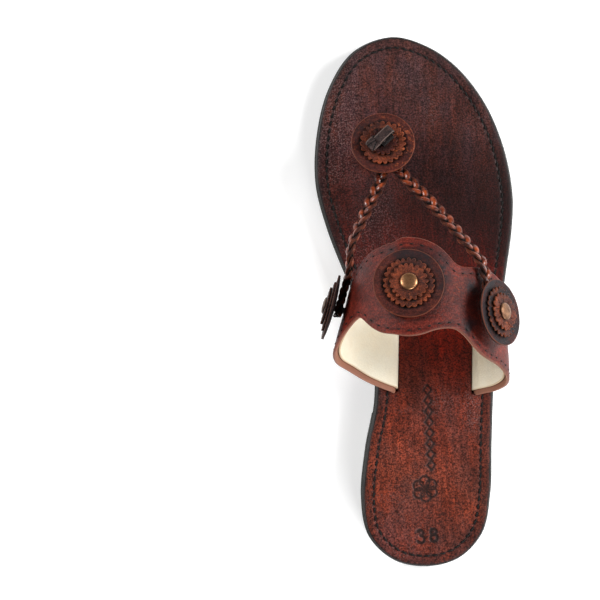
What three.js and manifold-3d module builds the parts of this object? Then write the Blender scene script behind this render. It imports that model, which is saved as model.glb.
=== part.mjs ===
// A right-foot leather flip flop, one of a hand-made pair. A three-layer sole (leather insole, board
// midsole, rubber outsole) stands on a rubber heel lift. A lined leather vamp arches over the instep
// between two slots in the insole. Two braids run from a toe post to the sides of the vamp. Four
// rosettes of stacked leather discs trim the toe post, the crown of the vamp and both its sides.
// Units are millimetres. +Y points to the toes, +X to the outer side of the foot and +Z up.

import * as THREE from "three";
import { mergeVertices } from "three/addons/utils/BufferGeometryUtils.js";
import Module from "manifold-3d";

const wasm = await Module();
wasm.setup();

// ---------------------------------------------------------------- driving dimensions
const SOLE_LENGTH = 253.4; // European size 38: 38 Paris points of 20/3 mm
const SOLE_WIDTH = 94; // across the ball of the foot
const INSTEP_HEIGHT = 58; // crown of the vamp above the insole

const OUTSOLE_THICKNESS = 3.2;
const MIDSOLE_THICKNESS = 2.6;
const INSOLE_THICKNESS = 3.2;
const HEEL_LIFT_THICKNESS = 7;
const TOE_SPRING = 4; // how far the toe tip curls up
const GLUE_LINE = 0.3; // gap between glued layers
const FIT_GAP = 0.4; // room round a strap or a post in its slot
const LEATHER_MARGIN = 1.1; // how far the outsole stands out past the insole

const VAMP_LEATHER = 1.8;
const LINING_LEATHER = 0.9;
const LINING_INSET = 2.4; // turned edge of the vamp, left bare of lining
const ROUND_RADIUS = 23.4; // round middle of the vamp, measured over the arch
const SLOT_DEPTH = 5; // how far a strap end goes below the insole's top

const THREAD = 0.7;
const INSOLE_SEAM_INSET = 5.4;
const VAMP_SEAM_INSET = 2.8;

const DISC_LEATHER = 1.2;
const BASE_DISC_DIAMETER = 32;
const SIDE_DISC_DIAMETER = 30.6;
const PINKED_DISC_DIAMETER = 23.6;
const SMALL_DISC_DIAMETER = 17.8;
const TOE_BASE_DIAMETER = 29.6;
const TOE_PINKED_DIAMETER = 21.6;
const TOE_SMALL_DIAMETER = 13.6;
const TOOTH_PITCH = 2.9; // pinking shears' tooth
const TOOTH_DEPTH = 1.1;

const RIVET_HEAD_DIAMETER = 7.8;
const RIVET_POST_DIAMETER = 3;
const BURR_THICKNESS = 0.8;
const BURR_DIAMETER = 6.4;
const RUNNING_CLEARANCE = 0.3; // between a rivet post and what it passes through

const BRAID_WIDTH = 6.4;
const BRAID_THICKNESS = 3.4;
const BRAID_TAIL = 5; // braid past its rivet or the toe post

const POST_DIAMETER = 6.4;
const POST_NECK_DIAMETER = 3.4;
const POST_FOOT_DIAMETER = 14;
const POST_HEIGHT = 17; // insole to the underside of the lower braid
const POST_LEAN = 16; // degrees, towards the toes
const KNOT_LENGTH = 11;
const KNOT_WIDTH = 7;
const KNOT_HEIGHT = 4;

// ---------------------------------------------------------------- small tools
// The pattern below is drawn for a sole of this length and width, and graded to the driving sizes.
const PATTERN_LENGTH = 253.4;
const PATTERN_WIDTH = 94;
const PATTERN_INSTEP = 58;
const gradeX = SOLE_WIDTH / PATTERN_WIDTH;
const gradeY = SOLE_LENGTH / PATTERN_LENGTH;
const gradeZ = INSTEP_HEIGHT / PATTERN_INSTEP;
const mix = THREE.MathUtils.lerp;
const smooth = (value, low, high) => THREE.MathUtils.smoothstep(value, low, high);
const vector = (x, y, z) => new THREE.Vector3(x, y, z);

function bare(geometry) {
  const copy = geometry.clone();
  copy.deleteAttribute("normal");
  copy.deleteAttribute("uv");
  return mergeVertices(copy, 1e-4);
}

function solidOf(geometry) {
  const merged = bare(geometry);
  return new wasm.Manifold(
    new wasm.Mesh({
      numProp: 3,
      vertProperties: new Float32Array(merged.attributes.position.array),
      triVerts: new Uint32Array(merged.index.array),
    }),
  );
}

function geometryOf(solid) {
  const mesh = solid.getMesh();
  const geometry = new THREE.BufferGeometry();
  geometry.setAttribute("position", new THREE.BufferAttribute(new Float32Array(mesh.vertProperties), 3));
  geometry.setIndex(new THREE.BufferAttribute(new Uint32Array(mesh.triVerts), 1));
  return geometry;
}

// Moves every vertex of a three.js primitive by place(x, y, z), which returns a Vector3.
function reshape(geometry, place) {
  const position = geometry.attributes.position;
  for (let i = 0; i < position.count; i++) {
    const p = place(position.getX(i), position.getY(i), position.getZ(i));
    position.setXYZ(i, p.x, p.y, p.z);
  }
  return geometry;
}

// Straight-line interpolation in a list of [key, value] pairs with rising keys.
function table(pairs, key) {
  const next = pairs.findIndex(([k]) => k >= key);
  if (next <= 0) return next === 0 ? pairs[0][1] : pairs[pairs.length - 1][1];
  const [k0, v0] = pairs[next - 1];
  const [k1, v1] = pairs[next];
  return mix(v0, v1, (key - k0) / (k1 - k0));
}

// ---------------------------------------------------------------- materials
const finish = (color, roughness, metalness = 0) =>
  new THREE.MeshStandardMaterial({ color, roughness, metalness });
const footbedLeather = finish(0x5c2a22, 0.42);
const vampLeather = finish(0x5e2620, 0.36);
const liningLeather = finish(0xe6d7b8, 0.7);
const discLeather = finish(0x4a2c28, 0.5);
const tanLeather = finish(0x7a3a22, 0.6);
const braidLeather = finish(0x9a4420, 0.32);
const knotLeather = finish(0x2b2423, 0.45);
const boardFibre = finish(0x241a16, 0.75);
const soleRubber = finish(0x303130, 0.8);
const blackThread = finish(0x1a1f1a, 0.65);
const brass = finish(0xb08a52, 0.32, 1);

const sandal = new THREE.Group();
function add(name, geometry, material) {
  const mesh = new THREE.Mesh(geometry, material);
  mesh.name = name;
  sandal.add(mesh);
}

// ---------------------------------------------------------------- sole outline and levels
// Tread line of the outsole, from the toe tip down the inner side, round the heel and back.
const SOLE_POINTS = [
  [3, 126.7], [-16, 121], [-29, 104.5], [-36.3, 83], [-38.7, 60], [-35.2, 39], [-29, 18], [-21.5, -3],
  [-17.8, -25], [-19, -46], [-25, -69], [-28.8, -92], [-26.8, -110], [-15.5, -122.5], [0, -126.7],
  [15.5, -123.8], [27.5, -112.6], [32.8, -94], [35.3, -70], [38, -46], [42, -18], [48.6, 8], [53.8, 32],
  [55.3, 48], [52.8, 70], [45.6, 91.5], [33.5, 109.7], [20, 120.8],
];
const OUTLINE_STEPS = 84;
const soleCurve = new THREE.CatmullRomCurve3(
  SOLE_POINTS.map(([x, y]) => vector(x * gradeX, y * gradeY, 0)),
  true,
  "centripetal",
);

// The outline moved inwards by inset, as a list of Vector2. It runs anticlockwise.
function outline(inset) {
  return Array.from({ length: OUTLINE_STEPS }, (_, i) => {
    const p = soleCurve.getPointAt(i / OUTLINE_STEPS);
    const t = soleCurve.getTangentAt(i / OUTLINE_STEPS);
    return new THREE.Vector2(p.x - t.y * inset, p.y + t.x * inset);
  });
}

const HEEL_BREAST = -52 * gradeY; // front face of the heel lift
const BALL_START = 24 * gradeY; // where the sole meets the ground again
const TOE_START = 72 * gradeY; // where the toe begins to curl up
const HALF_LENGTH = (PATTERN_LENGTH / 2) * gradeY;

// Height of the outsole's underside above the ground, along the foot.
function rise(y) {
  const heel = HEEL_LIFT_THICKNESS * (1 - smooth(y, HEEL_BREAST, BALL_START));
  const toe = Math.max(0, (y - TOE_START) / (HALF_LENGTH - TOE_START));
  return heel + TOE_SPRING * toe * toe;
}
const MIDSOLE_LEVEL = OUTSOLE_THICKNESS + GLUE_LINE;
const INSOLE_LEVEL = MIDSOLE_LEVEL + MIDSOLE_THICKNESS + GLUE_LINE;
const FOOTBED_LEVEL = INSOLE_LEVEL + INSOLE_THICKNESS;
const footbed = (y) => rise(y) + FOOTBED_LEVEL;

const TALL = 200; // taller than the sandal, for cutting prisms
const SLAB_STEP = 8;

function prism(points) {
  const geometry = new THREE.ExtrudeGeometry(new THREE.Shape(points), { depth: TALL, bevelEnabled: false });
  return solidOf(geometry.translate(0, 0, -TALL / 2));
}

// A sheet as wide as TALL that follows the sole's side profile between two levels.
function slab(low, high) {
  const stations = [];
  const end = HALF_LENGTH + SLAB_STEP;
  const count = Math.ceil((2 * end) / SLAB_STEP);
  for (let i = 0; i <= count; i++) stations.push(-end + (2 * end * i) / count);
  const under = stations.map((y) => new THREE.Vector2(y, rise(y) + low));
  const over = stations.map((y) => new THREE.Vector2(y, rise(y) + high)).reverse();
  const geometry = new THREE.ExtrudeGeometry(new THREE.Shape([...under, ...over]), {
    depth: TALL,
    bevelEnabled: false,
  });
  geometry.translate(0, 0, -TALL / 2);
  // The shape's x and y become world y and z, and its depth becomes world x.
  geometry.applyMatrix4(new THREE.Matrix4().makeBasis(vector(0, 1, 0), vector(0, 0, 1), vector(1, 0, 0)));
  return solidOf(geometry);
}
const layer = (inset, low, high) => prism(outline(inset)).intersect(slab(low, high));

// ---------------------------------------------------------------- shape of the upper
// Cross-section of the upper over the instep, from the inner slot over the crown to the outer slot.
// x is across the foot and z above the insole.
const ARCH_POINTS = [
  [-7.4, -SLOT_DEPTH], [-7.4, -1.5], [-9, 2.2], [-17, 6.5], [-27, 12], [-34.5, 20], [-37.4, 30],
  [-35.2, 41], [-27.5, 50], [-14, 56.5], [0, 58], [13.2, 56], [25, 49.3], [34.4, 39.3], [41, 28],
  [41.8, 17.5], [37.5, 8.5], [32, 2.6], [30, -1.5], [30, -SLOT_DEPTH],
];
const CROWN_INDEX = 10;
const CROWN_Y = 7 * gradeY;
const WAIST_Y = -26 * gradeY; // where the section has its full width
const INNER_TAPER = 0.0096 / gradeY; // share by which its inner half narrows for each mm towards the toes
const OUTER_TAPER = -0.001 / gradeY; // the same for its outer half
const FALL = 0.0042 / gradeY; // share by which it gets lower
const LEAN = 0.1; // turn of the slots to the sandal's axis
const SLOT_MIDDLE_Y = -29 * gradeY;
const UPPER_SLOPE = -0.06; // fall of the insole's line under the crown
const FULL_FORM_HEIGHT = 22 * gradeZ; // above this the arch takes its whole taper
const SLOT_TO_EDGE = 10.5; // from a slot to the sole's edge: the insole's seam runs between them
const slotShift = SLOT_TO_EDGE * (1 - gradeX); // keeps that distance at every width

const archCurve = new THREE.CatmullRomCurve3(
  ARCH_POINTS.map(([x, z]) => vector(x * gradeX, 0, z > 0 ? z * gradeZ : z)),
  false,
  "centripetal",
);
archCurve.arcLengthDivisions = 600;
const archLength = archCurve.getLength();
const crownShare = (() => {
  const lengths = archCurve.getLengths(600);
  return lengths[Math.round((600 * CROWN_INDEX) / (ARCH_POINTS.length - 1))] / archLength;
})();

// A side position runs from -1 in the inner slot, over 0 at the crown, to 1 in the outer slot.
const shareOf = (side) => (side < 0 ? crownShare * (1 + side) : mix(crownShare, 1, side));
const arcOf = (side) => (shareOf(side) - crownShare) * archLength;

function upperPoint(side, y) {
  const share = THREE.MathUtils.clamp(shareOf(side), 0, 1);
  const beyond = (shareOf(side) - share) * archLength;
  const p = archCurve.getPointAt(share).addScaledVector(archCurve.getTangentAt(share), beyond);
  const full = smooth(p.z, 0, FULL_FORM_HEIGHT);
  const ahead = y - CROWN_Y;
  const straightBase = footbed(CROWN_Y) + UPPER_SLOPE * ahead;
  const narrowing = (p.x < 0 ? INNER_TAPER : OUTER_TAPER) * (y - WAIST_Y) * full;
  const inwards = (p.x < 0 ? slotShift : -slotShift) * (1 - full);
  return vector(
    p.x * (1 - narrowing) + inwards + LEAN * (y - SLOT_MIDDLE_Y) * (1 - full),
    y,
    mix(footbed(y), straightBase, full) + p.z * (1 - FALL * ahead * full),
  );
}

function upperNormal(side, y) {
  const step = 1e-3;
  const across = upperPoint(side + step, y).sub(upperPoint(side - step, y));
  const along = upperPoint(side, y + 1).sub(upperPoint(side, y - 1));
  return across.cross(along).normalize();
}
const offUpper = (side, y, height) => upperPoint(side, y).addScaledVector(upperNormal(side, y), height);

// Front and rear edges of the vamp: its two arms, as y against side position, and its round middle.
const FRONT_ARM = [
  [-1, -13], [-0.86, -8], [-0.73, -1], [-0.6, 6], [-0.5, 12], [-0.45, 15.2], [-0.4, 18.6], [-0.35, 22],
  [-0.3, 24], [-0.25, 25], [-0.2, 26], [-0.15, 27], [0.25, 13.6], [0.37, 13], [0.45, 11.5], [0.54, 7.5],
  [0.61, 2.5], [0.69, -4], [0.78, -10], [1, -15],
];
const REAR_ARM = [
  [-1, -44.5], [-0.9, -41.3], [-0.8, -36.6], [-0.7, -30.3], [-0.6, -26], [-0.5, -20.5], [-0.45, -16],
  [-0.4, -12], [-0.35, -7.8], [-0.31, -4.5], [-0.25, -9], [-0.2, -12], [-0.15, -13.8], [0.19, -13.2],
  [0.25, -17.3], [0.3, -23.3], [0.35, -26.7], [0.4, -29], [0.45, -30.7], [0.5, -32.5], [0.6, -37.5],
  [0.7, -42], [0.8, -45], [1, -47.5],
];
const ROUND_SIDE = -2; // its middle, over the arch from the crown
const ROUND_Y = 6.8 * gradeY;
const PLAN_SHARE = 0.955; // a sloping circle seen in plan

function roundReach(side) {
  const share = (arcOf(side) - ROUND_SIDE) / ROUND_RADIUS;
  return PLAN_SHARE * ROUND_RADIUS * Math.sqrt(Math.max(0, 1 - share * share));
}
function frontEdge(side) {
  const reach = roundReach(side);
  const arm = table(FRONT_ARM, side) * gradeY;
  return reach > 0 ? Math.max(arm, ROUND_Y + reach) : arm;
}
function rearEdge(side) {
  const reach = roundReach(side);
  const arm = table(REAR_ARM, side) * gradeY;
  return reach > 0 ? Math.min(arm, ROUND_Y - reach) : arm;
}

// A sheet that follows the upper from side a to side b, between two edges and two heights off it.
function sheet({ a = -1, b = 1, columns, rows, front, rear, inner, outer }) {
  return reshape(new THREE.BoxGeometry(1, 1, 1, columns, rows, 1), (x, y, z) => {
    const side = mix(a, b, x + 0.5);
    const place = mix(rear(side), front(side), y + 0.5);
    return offUpper(side, place, mix(inner, outer, z + 0.5));
  });
}

// ---------------------------------------------------------------- rosette places
const STACK_GAP = 0.3; // between stacked discs
const SEAM_HEIGHT = GLUE_LINE / 3 + THREAD / 2; // top of the stitches above the leather
const BRAID_GAP = SEAM_HEIGHT + 0.3; // a braid lies over the front seam
const BRAID_SEAT = BRAID_GAP + BRAID_THICKNESS + STACK_GAP;
const ROSETTES = [
  { name: "centre", side: -0.02, y: 7.2 * gradeY, seat: STACK_GAP, base: BASE_DISC_DIAMETER },
  { name: "inner", side: -0.5, y: -2.5 * gradeY, seat: BRAID_SEAT, base: SIDE_DISC_DIAMETER },
  { name: "outer", side: 0.415, y: -9 * gradeY, seat: BRAID_SEAT, base: SIDE_DISC_DIAMETER },
];

// The rosette's own axes: z out of the leather, x forward along it.
function rosetteFrame({ side, y }) {
  const up = upperNormal(side, y);
  const ahead = vector(0, 1, 0);
  const across = ahead.clone().cross(up).normalize();
  const forward = up.clone().cross(across);
  return new THREE.Matrix4()
    .makeBasis(forward, across.clone().negate(), up)
    .setPosition(offUpper(side, y, VAMP_LEATHER));
}

const ROUND_SEGMENTS = 32;
function cylinder(radius, low, high, segments = ROUND_SEGMENTS) {
  const geometry = new THREE.CylinderGeometry(radius, radius, high - low, segments);
  return geometry.rotateX(Math.PI / 2).translate(0, 0, (low + high) / 2);
}
const UNDER_VAMP = VAMP_LEATHER + GLUE_LINE + LINING_LEATHER;
const BURR_GAP = 0.5; // the flat washer bridges the hollow of the lining
const rivetHole = (rosette) =>
  solidOf(
    cylinder(RIVET_POST_DIAMETER / 2 + RUNNING_CLEARANCE, -UNDER_VAMP - 2, BRAID_SEAT, 16).applyMatrix4(
      rosetteFrame(rosette),
    ),
  );

// ---------------------------------------------------------------- toe post place
const POST_Y = 67 * gradeY;
const TOE_POST = vector(-6.3 * gradeX, POST_Y, footbed(POST_Y));
const leanAngle = THREE.MathUtils.degToRad(POST_LEAN);
const TOE_AXIS = vector(0, Math.sin(leanAngle), Math.cos(leanAngle));
const toeFrame = new THREE.Matrix4().makeRotationX(-leanAngle).setPosition(TOE_POST);
const LOWER_BRAID_LEVEL = POST_HEIGHT + STACK_GAP + BRAID_THICKNESS / 2;
const UPPER_BRAID_LEVEL = LOWER_BRAID_LEVEL + STACK_GAP + BRAID_THICKNESS;
const TOE_DISC_LEVEL = UPPER_BRAID_LEVEL + 2 * STACK_GAP + BRAID_THICKNESS / 2;
const TOE_STACK = 3 * (DISC_LEATHER + STACK_GAP);
const KNOT_LEVEL = TOE_DISC_LEVEL + TOE_STACK;
// The post's foot is a flat head let into the midsole from below.
const FOOT_TOP = -INSOLE_THICKNESS - GLUE_LINE - MIDSOLE_THICKNESS / 2;
const FOOT_LOW = FOOT_TOP - MIDSOLE_THICKNESS / 2 + 0.1;

// ---------------------------------------------------------------- sole
const strapEnds = (low, high) => {
  const room = { columns: 6, rows: 10, front: (s) => frontEdge(s) + FIT_GAP, rear: (s) => rearEdge(s) - FIT_GAP };
  const across = {
    inner: -GLUE_LINE - LINING_LEATHER - FIT_GAP,
    outer: VAMP_LEATHER + FIT_GAP,
  };
  return [
    solidOf(sheet({ a: -1.01, b: -0.93, ...room, ...across })),
    solidOf(sheet({ a: 0.92, b: 1.01, ...room, ...across })),
  ].map((solid) => solid.intersect(slab(low, high)));
};

function makeSole() {
  const shankRoom = solidOf(
    cylinder(POST_DIAMETER / 2 + FIT_GAP, FOOT_LOW, INSOLE_THICKNESS, 24).applyMatrix4(toeFrame),
  );
  const footRoom = solidOf(
    cylinder(POST_FOOT_DIAMETER / 2 + FIT_GAP, FOOT_LOW - 1, FOOT_TOP + FIT_GAP, 24).translate(
      TOE_POST.x,
      TOE_POST.y,
      TOE_POST.z,
    ),
  );

  let insole = layer(LEATHER_MARGIN, INSOLE_LEVEL, FOOTBED_LEVEL).subtract(shankRoom);
  for (const room of strapEnds(INSOLE_LEVEL - 1, FOOTBED_LEVEL + 1)) insole = insole.subtract(room);
  add("insole", geometryOf(insole), footbedLeather);

  let midsole = layer(LEATHER_MARGIN / 2, MIDSOLE_LEVEL, MIDSOLE_LEVEL + MIDSOLE_THICKNESS);
  midsole = midsole.subtract(shankRoom).subtract(footRoom);
  for (const room of strapEnds(MIDSOLE_LEVEL - 1, INSOLE_LEVEL + 1)) midsole = midsole.subtract(room);
  add("midsole", geometryOf(midsole), boardFibre);

  add("outsole", geometryOf(layer(0, 0, OUTSOLE_THICKNESS)), soleRubber);

  const heelEnd = new THREE.BoxGeometry(TALL, TALL, HEEL_LIFT_THICKNESS - GLUE_LINE);
  heelEnd.translate(0, HEEL_BREAST - TALL / 2, (HEEL_LIFT_THICKNESS - GLUE_LINE) / 2);
  add("heel_lift", geometryOf(prism(outline(0)).intersect(solidOf(heelEnd))), soleRubber);

  const seam = prism(outline(INSOLE_SEAM_INSET)).subtract(prism(outline(INSOLE_SEAM_INSET + THREAD)));
  const seamLevel = FOOTBED_LEVEL + GLUE_LINE / 3;
  add("insole_stitching", geometryOf(seam.intersect(slab(seamLevel, seamLevel + THREAD / 2))), blackThread);
}

// ---------------------------------------------------------------- vamp and lining
function makeVamp() {
  let vamp = solidOf(
    sheet({ columns: 66, rows: 4, front: frontEdge, rear: rearEdge, inner: 0, outer: VAMP_LEATHER }),
  );
  let lining = solidOf(
    sheet({
      columns: 66,
      rows: 4,
      front: (side) => frontEdge(side) - LINING_INSET,
      rear: (side) => rearEdge(side) + LINING_INSET,
      inner: -GLUE_LINE - LINING_LEATHER,
      outer: -GLUE_LINE,
    }),
  );
  for (const rosette of ROSETTES) {
    vamp = vamp.subtract(rivetHole(rosette));
    lining = lining.subtract(rivetHole(rosette));
  }
  add("vamp", geometryOf(vamp), vampLeather);
  add("vamp_lining", geometryOf(lining), liningLeather);

  const seam = { a: -0.84, b: 0.84, columns: 60, rows: 1 };
  const height = { inner: VAMP_LEATHER + GLUE_LINE / 3, outer: VAMP_LEATHER + SEAM_HEIGHT };
  const frontSeam = (side) => frontEdge(side) - VAMP_SEAM_INSET;
  const rearSeam = (side) => rearEdge(side) + VAMP_SEAM_INSET;
  add(
    "vamp_front_stitching",
    sheet({ ...seam, ...height, front: frontSeam, rear: (side) => frontSeam(side) - THREAD }),
    blackThread,
  );
  add(
    "vamp_rear_stitching",
    sheet({ ...seam, ...height, front: (side) => rearSeam(side) + THREAD, rear: rearSeam }),
    blackThread,
  );
}

// ---------------------------------------------------------------- rosettes
// A leather disc with a round hole. With teeth, its edge is pinked into a zigzag.
function disc(diameter, holeDiameter, pinked) {
  const shape = new THREE.Shape();
  if (pinked) {
    const teeth = Math.round((Math.PI * diameter) / TOOTH_PITCH);
    const points = Array.from({ length: 2 * teeth }, (_, i) => {
      const radius = diameter / 2 - (i % 2 ? TOOTH_DEPTH : 0);
      const angle = (Math.PI * i) / teeth;
      return new THREE.Vector2(radius * Math.cos(angle), radius * Math.sin(angle));
    });
    shape.setFromPoints(points);
  } else {
    shape.absarc(0, 0, diameter / 2, 0, 2 * Math.PI);
  }
  const hole = new THREE.Path();
  hole.absarc(0, 0, holeDiameter / 2, 0, 2 * Math.PI, true);
  shape.holes.push(hole);
  return new THREE.ExtrudeGeometry(shape, { depth: DISC_LEATHER, bevelEnabled: false, curveSegments: 14 });
}

function makeRosette(rosette) {
  const { name, seat, base } = rosette;
  const frame = rosetteFrame(rosette);
  const hole = RIVET_POST_DIAMETER + 2 * RUNNING_CLEARANCE;
  const stack = [
    ["base_disc", base, false, discLeather],
    ["pinked_disc", PINKED_DISC_DIAMETER, true, tanLeather],
    ["small_disc", SMALL_DISC_DIAMETER, true, tanLeather],
  ];
  stack.forEach(([part, diameter, pinked, leather], i) => {
    const height = seat + i * (DISC_LEATHER + STACK_GAP);
    add(`${name}_${part}`, disc(diameter, hole, pinked).translate(0, 0, height).applyMatrix4(frame), leather);
  });

  // The cap is a low dome on a post. The post goes through the burr, a washer inside the vamp.
  const head = RIVET_HEAD_DIAMETER / 2;
  const post = RIVET_POST_DIAMETER / 2;
  const capLevel = seat + stack.length * (DISC_LEATHER + STACK_GAP);
  const burrTop = -UNDER_VAMP - BURR_GAP;
  const burrEdge = BURR_DIAMETER / 2;
  const cap = new THREE.LatheGeometry(
    [
      new THREE.Vector2(0, burrTop - BURR_THICKNESS),
      new THREE.Vector2(post, burrTop - BURR_THICKNESS),
      new THREE.Vector2(post, capLevel),
      new THREE.Vector2(head, capLevel),
      new THREE.Vector2(head, capLevel + 0.5),
      new THREE.Vector2(head * 0.8, capLevel + 1.2),
      new THREE.Vector2(0, capLevel + 1.6),
    ],
    20,
  );
  add(`${name}_rivet_cap`, cap.rotateX(Math.PI / 2).applyMatrix4(frame), brass);

  const bore = post + RUNNING_CLEARANCE;
  const burr = new THREE.LatheGeometry(
    [
      new THREE.Vector2(bore, burrTop - BURR_THICKNESS),
      new THREE.Vector2(burrEdge, burrTop - BURR_THICKNESS),
      new THREE.Vector2(burrEdge, burrTop),
      new THREE.Vector2(bore, burrTop),
      new THREE.Vector2(bore, burrTop - BURR_THICKNESS),
    ],
    20,
  );
  add(`${name}_rivet_burr`, burr.rotateX(Math.PI / 2).applyMatrix4(frame), brass);
}

// ---------------------------------------------------------------- toe post, its discs and knot
function makeToePost() {
  const neckTop = KNOT_LEVEL + KNOT_HEIGHT / 2;
  const shank = cylinder(POST_DIAMETER / 2, FOOT_TOP - 0.5, POST_HEIGHT, 20).applyMatrix4(toeFrame);
  const neck = cylinder(POST_NECK_DIAMETER / 2, POST_HEIGHT - 1, neckTop, 20).applyMatrix4(toeFrame);
  const foot = cylinder(POST_FOOT_DIAMETER / 2, FOOT_LOW, FOOT_TOP, 24);
  foot.translate(TOE_POST.x, TOE_POST.y, TOE_POST.z);
  add("toe_post", geometryOf(solidOf(shank).add(solidOf(neck)).add(solidOf(foot))), knotLeather);

  const hole = POST_NECK_DIAMETER + 2 * RUNNING_CLEARANCE;
  const stack = [
    ["toe_base_disc", TOE_BASE_DIAMETER, false, discLeather],
    ["toe_pinked_disc", TOE_PINKED_DIAMETER, true, tanLeather],
    ["toe_small_disc", TOE_SMALL_DIAMETER, true, tanLeather],
  ];
  stack.forEach(([name, diameter, pinked, leather], i) => {
    const level = TOE_DISC_LEVEL + i * (DISC_LEATHER + STACK_GAP);
    add(name, disc(diameter, hole, pinked).translate(0, 0, level).applyMatrix4(toeFrame), leather);
  });

  // The lace is folded over itself: a long fold and a short pointed one, side by side.
  const half = KNOT_WIDTH / 2;
  const fold = new THREE.Shape([
    new THREE.Vector2(-0.5 * KNOT_LENGTH, -0.9 * half),
    new THREE.Vector2(0.4 * KNOT_LENGTH, -half),
    new THREE.Vector2(0.5 * KNOT_LENGTH, 0.6 * half),
    new THREE.Vector2(0.3 * KNOT_LENGTH, half),
    new THREE.Vector2(-0.15 * KNOT_LENGTH, half),
    new THREE.Vector2(-0.45 * KNOT_LENGTH, 0.8 * half),
  ]);
  const socket = new THREE.Path();
  socket.absarc(0, 0, POST_NECK_DIAMETER / 2 + RUNNING_CLEARANCE, 0, 2 * Math.PI, true);
  fold.holes.push(socket);
  const knot = new THREE.ExtrudeGeometry(fold, { depth: KNOT_HEIGHT, bevelEnabled: false, curveSegments: 8 });
  knot.rotateZ(THREE.MathUtils.degToRad(50));
  add("toe_knot", knot.translate(0, 0, KNOT_LEVEL).applyMatrix4(toeFrame), knotLeather);
}

// ---------------------------------------------------------------- braids
// A flattened round bar along a curve, its flat side turning from the toe discs to the rosette.
function braid(points, endNormal, holes) {
  const path = new THREE.CatmullRomCurve3(points, false, "centripetal");
  const bar = reshape(new THREE.CylinderGeometry(1, 1, 1, 8, 24), (x, y, z) => {
    const share = 0.5 - y;
    const tangent = path.getTangentAt(share);
    const up = TOE_AXIS.clone().lerp(endNormal, smooth(share, 0.2, 0.75));
    up.addScaledVector(tangent, -up.dot(tangent)).normalize();
    const across = up.clone().cross(tangent);
    return path
      .getPointAt(share)
      .addScaledVector(across, (x * BRAID_WIDTH) / 2)
      .addScaledVector(up, (z * BRAID_THICKNESS) / 2);
  });
  let solid = solidOf(bar);
  for (const hole of holes) solid = solid.subtract(hole);
  return geometryOf(solid);
}

// The braid runs flat under the toe discs, bows up to the vamp's front edge and lies on the vamp.
// A landing is a side position and y on the vamp, a bow is [share of the way, sideways, upwards], and
// swing is the angle in degrees between the way out from the post and the straight line to the landing.
function braidRoute({ rosette, level, landing, bows, swing }) {
  const onVamp = (side, y) => offUpper(side, y, VAMP_LEATHER + BRAID_GAP + BRAID_THICKNESS / 2);
  const start = TOE_POST.clone().addScaledVector(TOE_AXIS, level);
  const touch = onVamp(landing.side, landing.y * gradeY);
  const heading = touch.clone().sub(start);
  heading.addScaledVector(TOE_AXIS, -heading.dot(TOE_AXIS)).normalize();
  heading.applyAxisAngle(TOE_AXIS, THREE.MathUtils.degToRad(swing));
  const leave = start.clone().addScaledVector(heading, TOE_BASE_DIAMETER * 0.48);
  const run = touch.clone().sub(leave);
  const sideways = vector(-run.y, run.x, 0).normalize();
  const way = bows.map(([share, out, up]) =>
    leave.clone().addScaledVector(run, share).addScaledVector(sideways, out).add(vector(0, 0, up)),
  );
  const middle = onVamp(mix(landing.side, rosette.side, 0.5), mix(landing.y * gradeY, rosette.y, 0.5));
  const end = onVamp(rosette.side, rosette.y);
  const past = 1 + BRAID_TAIL / end.distanceTo(touch);
  const tail = onVamp(mix(landing.side, rosette.side, past), mix(landing.y * gradeY, rosette.y, past));
  return [start.clone().addScaledVector(heading, -BRAID_TAIL), start, leave, ...way, touch, middle, end, tail];
}

function makeBraids() {
  const [, inner, outer] = ROSETTES;
  const neckRoom = cylinder(POST_NECK_DIAMETER / 2 + RUNNING_CLEARANCE, POST_HEIGHT - 2, KNOT_LEVEL, 16);
  const postHole = solidOf(neckRoom.applyMatrix4(toeFrame));
  const routes = [
    {
      name: "inner_braid",
      rosette: inner,
      level: LOWER_BRAID_LEVEL,
      landing: { side: -0.5, y: 14 },
      bows: [[0.4, -1.6, 1], [0.75, -2.8, 2]],
      swing: 12,
    },
    {
      name: "outer_braid",
      rosette: outer,
      level: UPPER_BRAID_LEVEL,
      landing: { side: 0.36, y: 13.5 },
      bows: [[0.35, 1, 1], [0.7, 1, 2]],
      swing: -5,
    },
  ];
  for (const { name, ...route } of routes) {
    const normal = upperNormal(route.rosette.side, route.rosette.y);
    const solid = braid(braidRoute(route), normal, [postHole, rivetHole(route.rosette)]);
    add(name, solid, braidLeather);
  }
}

makeSole();
makeVamp();
ROSETTES.forEach(makeRosette);
makeToePost();
makeBraids();

// The origin is on the ground, under the middle of the sandal.
const box = new THREE.Box3().setFromObject(sandal);
const middle = box.getCenter(vector(0, 0, 0));
sandal.position.set(-middle.x, -middle.y, -box.min.z);

export default sandal;
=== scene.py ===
# A right-foot leather flip flop: a stitched leather footbed on a rubber sole and heel, a lined vamp
# arched over the instep, two plaited straps to a toe post, and four rosettes of stacked leather discs.
# Sizes are in millimetres in the sandal's own frame, +Y to the toes, +X to the outer side and +Z up,
# and each mesh is shifted into the row frame and scaled to metres as it is made.
import math

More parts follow.
